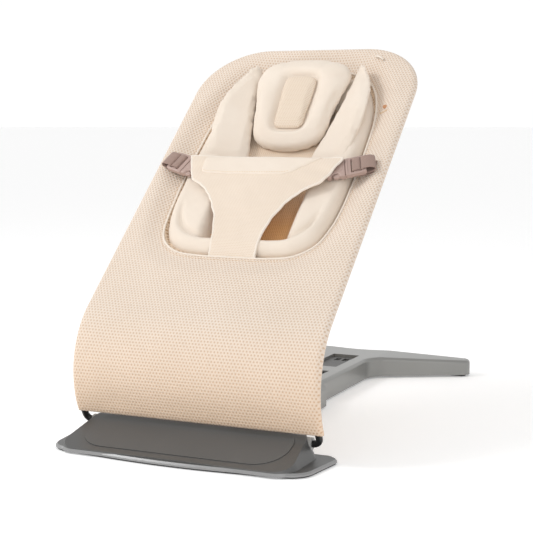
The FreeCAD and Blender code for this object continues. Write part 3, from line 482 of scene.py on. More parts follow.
MATERIALS = {
    # cover: painted shade, the tint grows warmer and darker towards the seat's lower end
    "cover": mesh_fabric("cover_mesh_painted_shade", (0.8, 0.695, 0.6), (0.66, 0.495, 0.365), 0.0052, 0.0009, 0.85,
                          shade=(0.0, 0.16, (1, 0.885, 0.77), (1, 1, 1))),
    # gusset and pouch: own mesh colours, darkened and warmed in part as painted shade of the pouch's inside
    "gusset": mesh_fabric("gusset_mesh_painted_shade", (0.8, 0.65, 0.5), (0.5, 0.33, 0.19), 0.007, 0.0014, 1.0),
    "pouch": mesh_fabric("pouch_mesh_painted_shade", (0.77, 0.61, 0.46), (0.5, 0.33, 0.2), 0.006, 0.001, 0.9),
    # panel: painted shade, a brown tint low on the seat where the leg holes lie in shade, a plain grey tint
    # above
    "panel": mesh_fabric("panel_mesh_painted_shade", (0.92, 0.775, 0.63), (0.72, 0.51, 0.34), 0.0036, 0.0006, 0.7,
                          shade=(0.37, 0.47, (1, 0.72, 0.42), (0.88, 0.88, 0.88))),
    "core": mesh_fabric("core_mesh", (0.79, 0.68, 0.565), (0.68, 0.53, 0.39), 0.003, 0.0005, 0.6),
    "bib": mesh_fabric("bib_mesh", (0.81, 0.705, 0.6), (0.71, 0.57, 0.44), 0.0026, 0.0004, 0.5),
    "cream": knit_fabric("cream_knit", (0.82, 0.725, 0.625)),
    "binding": knit_fabric("cream_binding", (0.85, 0.77, 0.68), 0.0009, 0.35),
    "thread": moulded("thread", (0.74, 0.56, 0.38), 0.8, 2000.0, 0.3),
    "taupe": moulded("taupe_plastic", (0.42, 0.3, 0.26), 0.34, 1200.0, 0.12),
    "webbing": woven("taupe_webbing", (0.4, 0.275, 0.23)),
    "copper": moulded("copper_button", (0.6, 0.3, 0.15), 0.3, 1500.0, 0.1, 0.35),
    "foot": moulded("foot_paint", (0.105, 0.105, 0.103), 0.4, 1400.0, 0.22, 0.35),
    "inlay": moulded("foot_inlay", (0.1, 0.1, 0.098), 0.5, 900.0, 0.4, 0.1),
    "base": moulded("base_paint", (0.27, 0.27, 0.26), 0.3, 1400.0, 0.14, 0.45),
    "rubber": moulded("rubber", (0.025, 0.025, 0.025), 0.75, 700.0, 0.5),
    "black": moulded("black_tube", (0.018, 0.018, 0.018), 0.32, 1500.0, 0.12, 0.2),
    "socket": moulded("socket_plastic", (0.42, 0.42, 0.41), 0.45),
    "inner": moulded("inner_plastic", (0.035, 0.035, 0.035), 0.5, 900.0, 0.35),
    "steel": moulded("steel", (0.55, 0.55, 0.54), 0.3, 2200.0, 0.15, 0.95),
}


def dress(obj, key):
    """Gives a piece its one material."""
    obj.data.materials.clear()
    obj.data.materials.append(MATERIALS[key])
    return obj


# ---- outlines on the seat

RIM_HALF = [(0.0, 0.2855), (0.06, 0.2862), (0.098, 0.2925), (0.125, 0.314), (0.138, 0.35), (0.1435, 0.405),
            (0.145, 0.465), (0.145, 0.525), (0.1425, 0.58), (0.135, 0.628), (0.1215, 0.665),
            (0.103, 0.692), (0.08, 0.7065), (0.04, 0.7135), (0.0, 0.7145)]
RIM = smooth_closed(mirror_loop(RIM_HALF), 240)
RIM_MIDDLE = Vector((0, 0.5))


def edge_depth(x, s):
    """Distance inside the cover's outline, sides and rounded top."""
    half, high, r = HALF, TOP, CORNER
    dx, dy = abs(x) - (half - r), s - (high - r)
    if dx > 0 and dy > 0:
        return r - math.hypot(dx, dy)
    return min(half - abs(x), high - s)


def rim_reach(angle):
    """The opening's radius about its middle in a direction."""
    for (start, near), (end, far) in zip(RIM_POLAR, RIM_POLAR[1:]):
        if start <= angle <= end:
            return near + (far - near) * (angle - start) / max(end - start, 1e-9)


RIM_POLAR = sorted((math.atan2(p.y - RIM_MIDDLE.y, p.x), (p - RIM_MIDDLE).length) for p in RIM)
RIM_POLAR = [(RIM_POLAR[-1][0] - 2 * math.pi, RIM_POLAR[-1][1])] + RIM_POLAR + [
    (RIM_POLAR[0][0] + 2 * math.pi, RIM_POLAR[0][1])]


def rim_share(x, s):
    """0 in the opening's middle, 1 at its rim."""
    v = Vector((x, s)) - RIM_MIDDLE
    return v.length / rim_reach(math.atan2(v.y, v.x)) if v.length > 1e-9 else 0.0


def rim_gap(x, s):
    """Rough distance outside the opening's rim."""
    v = Vector((x, s)) - RIM_MIDDLE
    return v.length - rim_reach(math.atan2(v.y, v.x))


def cover_columns():
    """Positions across the cover, close together where its edges roll round the tubes."""
    near = [0.0, 0.0006, 0.0018, 0.0036, 0.006, 0.009, 0.013, 0.018]
    inside = [-HALF + 0.018 + (2 * HALF - 0.036) * k / 48 for k in range(1, 48)]
    return [-HALF + step for step in near] + inside + [HALF - step for step in reversed(near)]


def outer_loop():
    """Points round the upper cover's outline from the split line, anticlockwise from its lower left."""
    half, high, r = HALF, TOP, CORNER
    points = [(x, SPLIT) for x in cover_columns()[:-1]]
    points += [(half, SPLIT + (high - r - SPLIT) * k / 44) for k in range(44)]
    points += [(half - r + r * math.cos(math.pi / 2 * k / 22), high - r + r * math.sin(math.pi / 2 * k / 22))
               for k in range(22)]
    points += [(half - r - 2 * (half - r) * k / 22, high) for k in range(22)]
    points += [(r - half - r * math.sin(math.pi / 2 * k / 22), high - r + r * math.cos(math.pi / 2 * k / 22))
               for k in range(22)]
    points += [(-half, high - r - (high - r - SPLIT) * k / 44) for k in range(44)]
    return points


# ---- outer cover

COVER_DEPTH = 0.0035


def cover_height(x, s, side):
    """Front (side 1) or back (side -1) of the cover over the tubes."""
    depth = edge_depth(x, s) - 1e-6
    hem = min(1.0, (s - HEM) / 0.007)
    edge = min(dome(depth / 0.0085), dome(hem))
    above_hem = smooth(HEM, HEM + 0.03, s)
    if side < 0:
        return -0.0066 * edge + 0.0025 * smooth(0.02, 0.09, depth) * above_hem * smooth(0.3, 0.27, s)
    h = 0.0072 * edge - 0.0022 * smooth(0.016, 0.075, depth) * above_hem
    gap = rim_gap(x, s)
    sink = 0.0135 if s > 0.4 else 0.0075 + 0.006 * smooth(0.3, 0.4, s)
    h -= sink * smooth(0.042, 0.0, gap)
    waves = 0.0006 * ripple(x, s, 0.085, 3.1) + 0.00035 * ripple(x, s, 0.035, 8.3)
    waves += 0.0007 * math.sin(s * 150 + 3 * ripple(x, s, 0.05, 1.0)) * smooth(0.05, 0.0, abs(gap)) * 0.35
    return h + waves * smooth(0.0, 0.02, depth) * above_hem


def make_cover():
    shares = [0, 0.003, 0.01, 0.022, 0.04, 0.065, 0.095, 0.135, 0.19, 0.25, 0.32, 0.4, 0.48, 0.56, 0.64,
              0.71, 0.78, 0.84, 0.89, 0.93, 0.96, 0.982, 0.994, 1.0]
    loop = outer_loop()
    inner = []
    for x, s in loop:
        angle = math.atan2(s - RIM_MIDDLE.y, x)
        inner.append(RIM_MIDDLE + Vector((math.cos(angle), math.sin(angle))) * rim_reach(angle))
    faces = ring_faces(len(shares), len(loop))
    parts = []
    for side in (1, -1):
        points = []
        for share in shares:
            for (x, s), near in zip(loop, inner):
                p = Vector((x, s)).lerp(near, share)
                h = cover_height(p.x, p.y, side)
                if side < 0:
                    under = cover_height(p.x, p.y, 1) - COVER_DEPTH
                    h = h * (1 - share) + under * share
                    h = min(h, under) if share > 0.5 else h
                points.append((p.x, p.y, h))
        parts.append((points, faces))
    rims = [(x, s, cover_height(x, s, 1) - depth) for depth in (0.0, COVER_DEPTH) for x, s in inner]
    parts.append((rims, ring_faces(2, len(inner))))
    columns = cover_columns()
    rows = [HEM + step for step in (0.0, 0.0004, 0.0013, 0.0028, 0.0048, 0.0072)]
    rows += [HEM + 0.0072 + (SPLIT - HEM - 0.0072) * k / 64 for k in range(1, 65)]
    parts += both_faces(len(rows), len(columns),
                        lambda i, j, side: (columns[j], rows[i], cover_height(columns[j], rows[i], side)))
    return seat_object("cover_fabric", parts, 2e-5)


# ---- pouch and insert

def rim_height(x, s):
    return cover_height(x, s, 1)


def bowl_depth(s):
    return along_table([(0.28, 0.04), (0.36, 0.05), (0.48, 0.05), (0.6, 0.038), (0.72, 0.022)], s)


def pouch_height(x, s):
    """The pouch's inner face, from its rim down to its floor."""
    share = min(rim_share(x, s), 1.0)
    drop = 1 - share ** 5
    return rim_height(x, s) * (1 - drop) - bowl_depth(s) * drop - 0.002 * drop * ripple(x, s, 0.05, 5.0)


def rings(shares, point):
    """A disc of rings round the opening's middle; point(x, s, share) gives (x, s, h)."""
    points = [point(*RIM_MIDDLE.lerp(p, share), share) for share in shares for p in RIM]
    return points, ring_faces(len(shares), len(RIM))


def make_pouch():
    shares = [1.0, 0.99, 0.975, 0.955, 0.93, 0.9, 0.86, 0.81, 0.75, 0.66, 0.55, 0.42, 0.28, 0.14, 0.001]
    inner = rings(shares, lambda x, s, share: (x, s, pouch_height(x, s) - 0.0004))
    outer = rings(shares, lambda x, s, share: (x * (1 + 0.012 * (1 - share ** 8)), s,
                                               pouch_height(x, s) - 0.0026))
    rim = [(p.x, p.y, rim_height(p.x, p.y) - step) for step in (0.0004, 0.0026) for p in RIM]
    return seat_object("pouch_fabric", [inner, outer, (rim, ring_faces(2, len(RIM)))])


def ease(t):
    return 0.5 - 0.5 * math.cos(math.pi * min(max(t, 0.0), 1.0))


def insert_rise(x, s):
    """0 on the liner's low middle, 1 on its wide side pillows, its narrow front lip and its upper rim."""
    share = rim_share(x, s)
    upper = smooth(0.46, 0.56, s)
    pillow = ease((abs(x) - (0.06 if x > 0 else 0.044)) / 0.028)
    lip = ease((share - 0.8) / 0.07) * smooth(0.42, 0.36, s)
    return max(pillow * (1 - upper) + ease((share - 0.5) / 0.36) * upper, lip)


def insert_height(x, s):
    """The padded liner's upper face, with sewn channels between its pillows."""
    share = rim_share(x, s)
    low = -along_table([(0.28, 0.018), (0.36, 0.024), (0.48, 0.026), (0.6, 0.024), (0.72, 0.012)], s)
    crest = along_table([(0.28, 0.0065), (0.34, 0.009), (0.5, 0.007), (0.7, -0.002)], s)
    h = low + (crest - low) * insert_rise(x, s)
    if share > 0.86:
        h -= (crest + 0.02) * (1 - math.sqrt(max(0.0, 1 - ((share - 0.86) / 0.115) ** 2)))
    h -= 0.0045 * math.exp(-((share - 0.6) / 0.03) ** 2) * smooth(0.46, 0.54, s)
    h -= 0.008 * math.exp(-((share - 0.835) / 0.02) ** 2) * smooth(0.4, 0.34, s)
    h += 0.0016 * ripple(x, s, 0.045, 2.0) + 0.0008 * ripple(x, s, 0.02, 7.0)
    return h


def make_insert():
    shares = [0.001, 0.06, 0.12, 0.18, 0.23, 0.28, 0.32, 0.36, 0.4, 0.44, 0.48, 0.52, 0.55, 0.58, 0.6,
              0.62, 0.65, 0.69, 0.73, 0.77, 0.8, 0.82, 0.835, 0.85, 0.87, 0.89, 0.915, 0.935, 0.95,
              0.962, 0.97, 0.9745]
    upper = rings(shares, lambda x, s, share: (x, s, insert_height(x, s)))
    lower = rings(shares, lambda x, s, share: (x, s, min(insert_height(x, s) - 0.004,
                                                         pouch_height(x, s) + 0.003)))
    rim = upper[0][-len(RIM):] + lower[0][-len(RIM):]
    return seat_object("insert_liner", [upper, lower, (rim, ring_faces(2, len(RIM)))])


WING = [(0.0555, 0.494), (0.112, 0.494), (0.1255, 0.512), (0.1315, 0.56), (0.132, 0.6), (0.128, 0.64),
        (0.118, 0.672), (0.103, 0.698), (0.088, 0.708), (0.0765, 0.64), (0.063, 0.56)]


def wing_surface(x, s):
    """The side wings lean in: low at the seam beside the head cushion, high at their outer edge."""
    inner = along_table([(0.49, 0.052), (0.56, 0.062), (0.64, 0.0765), (0.71, 0.088)], s)
    outer = along_table([(0.49, 0.118), (0.52, 0.128), (0.56, 0.1315), (0.6, 0.132), (0.64, 0.128),
                         (0.672, 0.118), (0.71, 0.09)], s)
    share = (x - inner) / max(outer - inner, 0.006)
    base = along_table([(0.49, -0.016), (0.56, -0.012), (0.66, -0.002), (0.71, 0.005)], s)
    lean = along_table([(0.49, 0.8), (0.6, 1.0), (0.71, 0.45)], s)
    return base + 0.026 * min(max(share, 0), 1.1) ** 1.3 * lean


def make_wing(name, sign):
    shares = [1.0, 0.985, 0.96, 0.92, 0.86, 0.78, 0.68, 0.56, 0.42, 0.28, 0.14, 0.001]

    def point(at, share, face):
        thick = 0.0058 * dome((1 - share) / 0.2)
        return sign * at.x, at.y, wing_surface(at.x, at.y) + face * thick

    obj = seat_object(name, pad_faces(smooth_closed(WING, 120), Vector((0.095, 0.605)), shares, point))
    puff(obj, 2.0, 0.003, 0.0045)
    return weave_map(obj)


# ---- head cushion

HEAD_MARK, HEAD_HEIGHT, HEAD_TILT = 0.522, -0.0225, math.radians(10.5)
CORE_BED = 0.0105


def head_point(x, y, z):
    """From the head cushion's own frame to seat coordinates."""
    return (x, HEAD_MARK + y * math.cos(HEAD_TILT) - z * math.sin(HEAD_TILT),
            HEAD_HEIGHT + y * math.sin(HEAD_TILT) + z * math.cos(HEAD_TILT))


RING_HALF = [(0.0, 0.011), (0.026, 0.0135), (0.048, 0.022), (0.0625, 0.036), (0.069, 0.062),
             (0.0755, 0.1), (0.082, 0.134), (0.0845, 0.155), (0.08, 0.174), (0.066, 0.188),
             (0.04, 0.196), (0.0, 0.199)]
CORE_HALF = [(0.0, 0.042), (0.017, 0.0425), (0.0265, 0.049), (0.03, 0.062), (0.032, 0.095),
             (0.033, 0.134), (0.03, 0.152), (0.02, 0.159), (0.0, 0.16)]


def make_head_ring():
    """The cushion's thick ring: over its crown to the sunk bed of the middle, and a flat underside."""
    outer = smooth_closed(mirror_loop(RING_HALF), 180)
    core = smooth_closed(mirror_loop(CORE_HALF), 180)
    crown_shares = [0.0, 0.02, 0.05, 0.1, 0.17, 0.26, 0.38, 0.5, 0.62, 0.74, 0.83, 0.9, 0.95, 0.98, 1.0]
    bed_shares = [0.85, 0.6, 0.3, 0.001]
    under_shares = [0.0, 0.02, 0.06, 0.2, 0.5, 1.0]
    count = len(outer)
    middle = sum(core, Vector((0, 0))) / count

    def top(share, k):
        at = outer[k].lerp(core[k], share)
        crown = 0.011 + 0.012 * math.sqrt(max(0.0, 1 - (2 * share - 1) ** 2)) * (0.7 + 0.3 * share)
        angle = math.atan2(at.y - 0.105, at.x)
        dart = sum(math.exp(-((angle - mark) / 0.035) ** 2)
                   for mark in (0.62, math.pi - 0.62, 1.12, math.pi - 1.12))
        crown -= 0.0016 * dart * smooth(0.0, 0.2, share) * smooth(1.0, 0.75, share)
        if share < 0.17:
            crown -= 0.011 * (1 - dome(share / 0.17))
        return at.x, at.y, crown

    points = [head_point(*top(share, k)) for share in crown_shares for k in range(count)]
    points += [head_point(*middle.lerp(p, share), CORE_BED) for share in bed_shares for p in core]
    under = len(points)
    points += [head_point(*p.lerp(middle, min(share, 0.999)), 0.0008 - 0.0008 * min(share * 10, 1))
               for share in under_shares for p in outer]
    faces = ring_faces(len(crown_shares) + len(bed_shares), count)
    faces += [(k, (k + 1) % count, under + (k + 1) % count, under + k) for k in range(count)]
    faces += ring_faces(len(under_shares), count, under)
    obj = seat_object("head_cushion", [(points, faces)])
    core_points = [seat(*head_point(p.x, p.y, CORE_BED)) for p in core[::3]]

    def hold(co):
        near = min((co - p).length for p in core_points)
        return 1.0 - smooth(0.004, 0.012, near)

    puff(obj, 4.5, 0.006, 0.0045, hold)
    return weave_map(obj)


def make_head_core():
    core = smooth_closed(mirror_loop(CORE_HALF), 120)
    middle = sum(core, Vector((0, 0))) / len(core)
    shares = [0.955, 0.93, 0.9, 0.85, 0.78, 0.68, 0.55, 0.4, 0.25, 0.12, 0.001]

    def point(at, share, face):
        thick = 0.0052 * dome((0.955 - share) / 0.3) * (1 if face > 0 else 0.3)
        return head_point(at.x, at.y, 0.013 + face * thick)

    obj = seat_object("head_cushion_core", pad_faces(core, middle, shares, point))
    puff(obj, 3.0, 0.003, 0.0035)
    return weave_map(obj)


# ---- harness bib

BIB_EDGE = [(0.2835, 0.0375), (0.3, 0.038), (0.32, 0.04), (0.352, 0.047), (0.378, 0.06),
            (0.392, 0.069), (0.405, 0.08), (0.414, 0.091), (0.425, 0.11), (0.445, 0.119),
            (0.476, 0.13)]
BIB_TOP = 0.4755


def bib_width(s):
    return along_table(BIB_EDGE, s)


def bib_height(x, s):
    middle = along_table([(0.2835, -0.0055), (0.293, 0.0005), (0.31, 0.0075), (0.34, 0.0125), (0.38, 0.017),
                          (0.42, 0.0195), (0.476, 0.021)], s)
    side = 0.0022 * smooth(0.07, 0.12, abs(x))
    folds = 0.0011 * ripple(x, s, 0.045, 4.4) + 0.0006 * ripple(x, s, 0.018, 9.0)
    pull = 0.0012 * math.sin((s - 0.45 + 0.25 * abs(x)) * 210) * smooth(0.05, 0.11, abs(x))
    return middle + side + folds + pull * 0.7


def make_bib():
    low, high = BIB_EDGE[0][0], BIB_TOP
    rows = [low + (high - low) * k / 96 for k in range(96)]
    rows += [high - 0.0015, high - 0.0007, high - 0.0002, high]
    spread = [0.0, 0.004, 0.012, 0.025, 0.045] + [0.045 + 0.91 * k / 52 for k in range(1, 52)] + [
        0.955, 0.975, 0.988, 0.996, 1.0]

    def point(i, j, face):
        s = rows[i]
        x = (2 * spread[j] - 1) * bib_width(s)
        depth = min(bib_width(s) - abs(x), high - s)
        return x, s, bib_height(x, s) + face * 0.0021 * dome(depth / 0.0035)

    return seat_object("harness_bib_fabric", both_faces(len(rows), len(spread), point), 2e-5)


def make_bib_binding():
    pieces = []
    marks = [0.287 + (BIB_TOP - 0.287) * k / 90 for k in range(91)]
    for sign in (-1, 1):
        path = [seat(sign * (bib_width(s) - 0.0006), s, bib_height(sign * bib_width(s), s) + 0.0003)
                for s in marks]
        pieces.append(tube_along("binding_leg", path, 0.0021))
    across = [-0.1285 + 0.257 * k / 80 for k in range(81)]
    path = [seat(x, BIB_TOP - 0.0004, bib_height(x, BIB_TOP)) for x in across]
    pieces.append(tube_along("binding_top", path, 0.0019))
    return weave_map(join("harness_bib_binding", pieces))


BAND_START, BAND_LENGTH = -0.1012, 0.1972
BAND_LOW = [(BAND_START, 0.456), (-0.1005, 0.4455), (-0.098, 0.44), (-0.0925, 0.4375),
            (-0.06, 0.4372), (0.0, 0.4378), (0.04, 0.439), (0.052, 0.443), (0.07, 0.456),
            (0.09, 0.469), (0.096, 0.474)]
BAND_HIGH = [(BAND_START, 0.456), (-0.1005, 0.466), (-0.098, 0.4715), (-0.0925, 0.4738),
             (0.096, 0.4745)]


def make_waistband():
    """The folded strip along the bib's upper edge: rounded at one end, cut on the slant at the other."""
    spread = [0.0, 0.0005, 0.002, 0.005, 0.01, 0.018] + [0.018 + 0.967 * k / 56 for k in range(1, 57)] + [
        0.992, 0.997, 1.0]
    rows = [0.0, 0.005, 0.02, 0.05, 0.1, 0.17, 0.27, 0.4, 0.6, 0.73, 0.83, 0.9, 0.95, 0.98, 0.995, 1.0]

    def point(i, j, face):
        x = BAND_START + BAND_LENGTH * spread[j]
        low, high = along_table(BAND_LOW, x), along_table(BAND_HIGH, x)
        s = low + (high - low) * rows[i]
        edge = min(s - low, high - s, x - BAND_START) / 0.006
        lift = 0.0017 + (0.003 * dome(edge) if face > 0 else -0.0004 * dome(edge))
        return x, s, bib_height(x, s) + lift

    return seat_object("harness_waistband", both_faces(len(rows), len(spread), point), 2e-5)


# ---- buckles

TILT = math.radians(19)
STRAP_WIDTH = 0.0275


def buckle_point(sign, x, y, z):
    """From a buckle's own frame, x outwards from its inner end, to the row's frame."""
    return seat(sign * (0.107 + x * math.cos(TILT) - y * math.sin(TILT)),
                0.452 + x * math.sin(TILT) + y * math.cos(TILT), 0.014 + z)


def both_sides(half):
    return half + [(x, -y) for x, y in reversed(half)]


def slab(name, outlines, thickness, bevel, place, middle=0.0):
    """A flat moulded piece with rounded edges; the first outline is its edge, the others are holes."""
    curve = bpy.data.curves.new(name, "CURVE")
    curve.dimensions = "2D"
    curve.fill_mode = "BOTH"
    curve.extrude = thickness / 2 - bevel
    curve.bevel_depth = bevel
    curve.bevel_resolution = 2
    curve.offset = -bevel
    for outline in outlines:
        add_spline(curve, [(x, y, 0) for x, y in outline], True)
    obj = mesh_from_curve(name, curve)
    for vertex in obj.data.vertices:
        vertex.co = place(vertex.co.x, vertex.co.y, vertex.co.z + middle)
    clean(obj, 1e-6)
    edges = obj.modifiers.new("shade", "EDGE_SPLIT")
    edges.split_angle = math.radians(38)
    return apply_modifiers(obj)


def rounded_box_outline(x0, x1, y0, y1, r):
    corners = ((x1 - r, y1 - r, 0), (x0 + r, y1 - r, 90), (x0 + r, y0 + r, 180), (x1 - r, y0 + r, 270))
    return [(cx + r * math.cos(a), cy + r * math.sin(a)) for cx, cy, start in corners
            for a in (math.radians(start + 18 * k) for k in range(6))]


def strap(name, path, thickness, place):
    """Flat webbing along a path of (x, z) points, with rounded edges and its own weave map."""
    dense = []
    last = len(path) - 1
    for i in range(last):
        near = [Vector(path[min(max(i + k, 0), last)]) for k in (-1, 0, 1, 2)]
        dense += [catmull_rom(*near, step / 8) for step in range(8)]
    dense.append(Vector(path[-1]))
    below = [(-0.5, -0.3), (-0.49, -0.5), (-0.4, -0.5), (-0.2, -0.5), (0, -0.5), (0.2, -0.5), (0.4, -0.5),
             (0.49, -0.5), (0.5, -0.3)]
    section = below + [(-across, -up) for across, up in below]
    vertices, uvs = [], []
    travelled = 0.0
    for i, p in enumerate(dense):
        if i:
            travelled += (p - dense[i - 1]).length
        ahead = (dense[min(i + 1, len(dense) - 1)] - dense[max(i - 1, 0)]).normalized()
        normal = Vector((-ahead.y, ahead.x))
        for across, up in section:
            at = p + normal * (up * thickness)
            vertices.append(place(at.x, across * STRAP_WIDTH, at.y))
            uvs.append((travelled, across * STRAP_WIDTH))
    count = len(section)
    faces = ring_faces(len(dense), count)
    faces.append(tuple(range(count)))
    faces.append(tuple(len(vertices) - count + k for k in reversed(range(count))))
    return clean(new_object(name, vertices, faces, uvs), 1e-7)


def buckle_piece(name, pieces, look, body, node):
    """Joins pieces of one look into the piece that stands for a CAD node."""
    for piece in pieces:
        dress(piece, look)
    piece = join(name, pieces)
    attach(piece, body)
    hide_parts(node)


def make_buckle(side, sign):
    def place(x, y, z):
        return buckle_point(sign, x, y, z)

    socket_half = [(0.0, 0.0135), (0.0025, 0.016), (0.006, 0.0168), (0.0078, 0.0152), (0.009, 0.0122),
                   (0.012, 0.0104), (0.015, 0.0102), (0.018, 0.0112), (0.02, 0.014), (0.0212, 0.0175),
                   (0.0235, 0.0189), (0.0298, 0.019)]
    shell = slab(f"buckle_socket_{side}_shell", [both_sides(socket_half)], 0.0092, 0.0018, place)
    panel = slab("socket_face", [rounded_box_outline(0.01, 0.026, -0.0075, 0.0075, 0.004)], 0.0016, 0.0006,
                 place, 0.0044)
    buckle_piece(f"buckle_socket_{side}_shell", [shell, panel], "taupe", "seat_upper",
                 f"buckle_socket_{side}")

    head_half = [(0.0303, 0.019), (0.034, 0.0193), (0.04, 0.0188), (0.056, 0.0184), (0.06, 0.0178),
                 (0.0622, 0.0158), (0.0626, 0.01)]
    slots = [rounded_box_outline(x, x + 0.0036, -0.0146, 0.0146, 0.0008) for x in (0.0392, 0.0522)]
    head = slab("plug_head", [both_sides(head_half)] + slots, 0.0078, 0.0014, place)
    collar = slab("plug_collar", [rounded_box_outline(0.0303, 0.0345, -0.018, 0.018, 0.0015)], 0.0096,
                  0.001, place)
    prongs = []
    for edge in (1, -1):
        prong = [(0.031, edge * 0.0135), (0.024, edge * 0.015), (0.0198, edge * 0.0182),
                 (0.015, edge * 0.0186), (0.0108, edge * 0.0172), (0.01, edge * 0.014),
                 (0.014, edge * 0.0112), (0.031, edge * 0.0105)]
        prongs.append(slab("plug_prong", [prong[::edge]], 0.0052, 0.001, place))
    buckle_piece(f"buckle_plug_{side}_shell", [head, collar, *prongs], "taupe", f"plug_{side}",
                 f"buckle_plug_{side}")

    wrap = strap("webbing_wrap", [(0.041, -0.0035), (0.041, 0.002), (0.0428, 0.005), (0.0475, 0.0056),
                                  (0.052, 0.005), (0.0538, 0.002), (0.0538, -0.0035)], 0.0013, place)
    fold = strap("webbing_fold", [(0.0546, -0.002), (0.0546, 0.002), (0.0566, 0.005), (0.062, 0.0062),
                                  (0.069, 0.0056), (0.0742, 0.0034), (0.076, 0.0004), (0.0742, -0.003),
                                  (0.069, -0.0048), (0.06, -0.005), (0.05, -0.005)], 0.0014, place)
    buckle_piece(f"buckle_webbing_{side}", [wrap, fold], "webbing", f"plug_{side}",
                 f"strap_loop_{side}")

    anchor = strap(f"buckle_anchor_{side}", [(0.048, -0.0084), (0.06, -0.0086), (0.072, -0.009),
                                             (0.08, -0.0098), (0.088, -0.0122)], 0.0014, place)
    dress(anchor, "webbing")
    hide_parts(f"strap_anchor_{side}")
    place(0.086, 0, -0.0122)
    place(0.060, 0, -0.0086)
    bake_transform(anchor)


# ---- put the soft pieces together

def on_seat(obj, node=None):
    """Fixes a piece to the upper seat, in place of its CAD node where one is given."""
    if node:
        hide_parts(node)
    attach(obj, "seat_upper")


def second_cloth(obj, key, chosen):
    """Gives the faces that chosen(x, s) picks a second material."""
    obj.data.materials.append(MATERIALS[key])
    weave = obj.data.uv_layers["weave"].data
    for polygon in obj.data.polygons:
        if chosen(*weave[polygon.loop_start].uv):
            polygon.material_index = 1


def soft_pieces():
    cover = dress(make_cover(), "cover")
    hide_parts("cover_lower", "cover_upper")
    seat(0, 0.215)
    seat(0, 0.285)
    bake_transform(cover)

    pouch = dress(make_pouch(), "pouch")
    second_cloth(pouch, "gusset", lambda x, s: rim_share(x, s) > 0.84)
    on_seat(pouch, "seat_pouch")

    insert = dress(make_insert(), "cream")
    # the liner's low middle takes the panel mesh, which carries painted shade at its lower end
    second_cloth(insert, "panel", lambda x, s: insert_rise(x, s) < 0.3)
    on_seat(insert, "insert_pad")
    for side, sign in (("left", -1), ("right", 1)):
        wing = dress(make_wing(f"side_wing_{side}", sign), "cream")
        on_seat(wing, f"insert_wing_{side}")
    on_seat(dress(make_head_ring(), "cream"), "headrest_pad")
    on_seat(dress(make_head_core(), "core"), "headrest_core")
    on_seat(dress(make_bib(), "bib"), "harness_bib")
    on_seat(dress(make_bib_binding(), "binding"))
    on_seat(dress(make_waistband(), "cream"))

    seam = [seat(p.x, p.y, rim_height(p.x, p.y) + 0.0004) for p in RIM]
    piping = weave_map(tube_along("opening_piping", seam, 0.0016, closed=True))
    on_seat(dress(piping, "binding"))
    outside = [RIM_MIDDLE + (p - RIM_MIDDLE) * (1 + 0.0055 / (p - RIM_MIDDLE).length) for p in RIM]
    row = [seat(p.x, p.y, rim_height(p.x, p.y) + 0.0002) for p in outside]
    on_seat(dress(stitches("opening_stitches", row, closed=True), "thread"))
    marks = [(x, along_table(BAND_LOW, x) + 0.0034) for x in (-0.095 + 0.143 * k / 60 for k in range(61))]
    row = [seat(x, s, bib_height(x, s) + 0.0043) for x, s in marks]
    on_seat(dress(stitches("waistband_stitches", row), "thread"))


def trim_pieces():
    """The button with its buttonhole and the small cord loop on the cover."""
    x, s = 0.153, 0.62
    base = cover_height(x, s, 1)

    def circle(cx, cy, radius, count):
        return [(cx + radius * math.cos(math.tau * k / count), cy + radius * math.sin(math.tau * k / count))
                for k in range(count)]

    def place(px, py, pz):
        return seat(x + px, s + py, base + pz)

    holes = [circle(cx, cy, 0.00045, 8) for cx in (-0.0009, 0.0009) for cy in (-0.0009, 0.0009)]
    disc = slab("cover_button_disc", [circle(0, 0, 0.0036, 32)] + holes, 0.002, 0.0004, place, 0.0012)
    on_seat(dress(disc, "copper"), "cover_button")
    slit = [(x - 0.0075 + 0.015 * k / 20, s - 0.0105 + 0.0006 * math.sin(k)) for k in range(21)]
    path = [seat(px, ps, cover_height(px, ps, 1) + 0.0004) for px, ps in slit]
    on_seat(dress(weave_map(tube_along("buttonhole", path, 0.0009)), "thread"))

    tab = [(0.11, 0.734, 0.007), (0.112, 0.732, 0.0105), (0.116, 0.729, 0.013), (0.121, 0.727, 0.012),
           (0.124, 0.726, 0.0085)]
    cord = weave_map(tube_along("cover_loop_cord", [seat(*p) for p in tab], 0.0019))
    on_seat(dress(cord, "binding"), "cover_loop")


def dress_frame():
    """Gives the CAD nodes that no drawn piece stands for their looks."""
    looks = {
        "foot": "front_foot_shell",
        "base": "spine_front_shell rear_base_shell",
        "inlay": "front_foot_inlay slot_plate",
        "rubber": "front_foot_sole rear_pad_left rear_pad_right",
        "socket": "pivot_bush_left pivot_bush_right release_button",
        "inner": "front_foot_underplate recline_track bar_bracket_left bar_bracket_right foot_carriage",
        "black": "frame_tube_left frame_tube_right frame_hoop cross_bar prop_leg",
        "steel": "base_screws hoop_spigot_left hoop_spigot_right bracket_rivets foot_pin latch_pin_left "
                 "latch_pin_right button_spring",
    }
    for key, names in looks.items():
        for name in names.split():
            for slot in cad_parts[name].material_slots:
                slot.link = "OBJECT"
                slot.material = MATERIALS[key]


def painted_rim_highlight():
    """Painted highlight: a bright band round the foot's lower bevelled edge, darker paint above it."""
    mat = MATERIALS["foot"]
    nodes, links = mat.node_tree.nodes, mat.node_tree.links
    shader = nodes["Principled BSDF"]
    paint = shader.inputs["Base Color"].links[0].from_socket
    split = nodes.new("ShaderNodeSeparateXYZ")
    links.new(nodes.new("ShaderNodeTexCoord").outputs["Object"], split.inputs[0])
    low = maths(nodes, links, "LESS_THAN", split.outputs["Z"], 0.0069)
    mix = nodes.new("ShaderNodeMix")
    mix.data_type = "RGBA"
    links.new(low, mix.inputs["Factor"])
    links.new(paint, mix.inputs[6])
    # painted highlight: the light grey of the lower edge band
    mix.inputs[7].default_value = (0.28, 0.28, 0.28, 1)
    links.new(mix.outputs[2], shader.inputs["Base Color"])


# ---- floor, light and camera

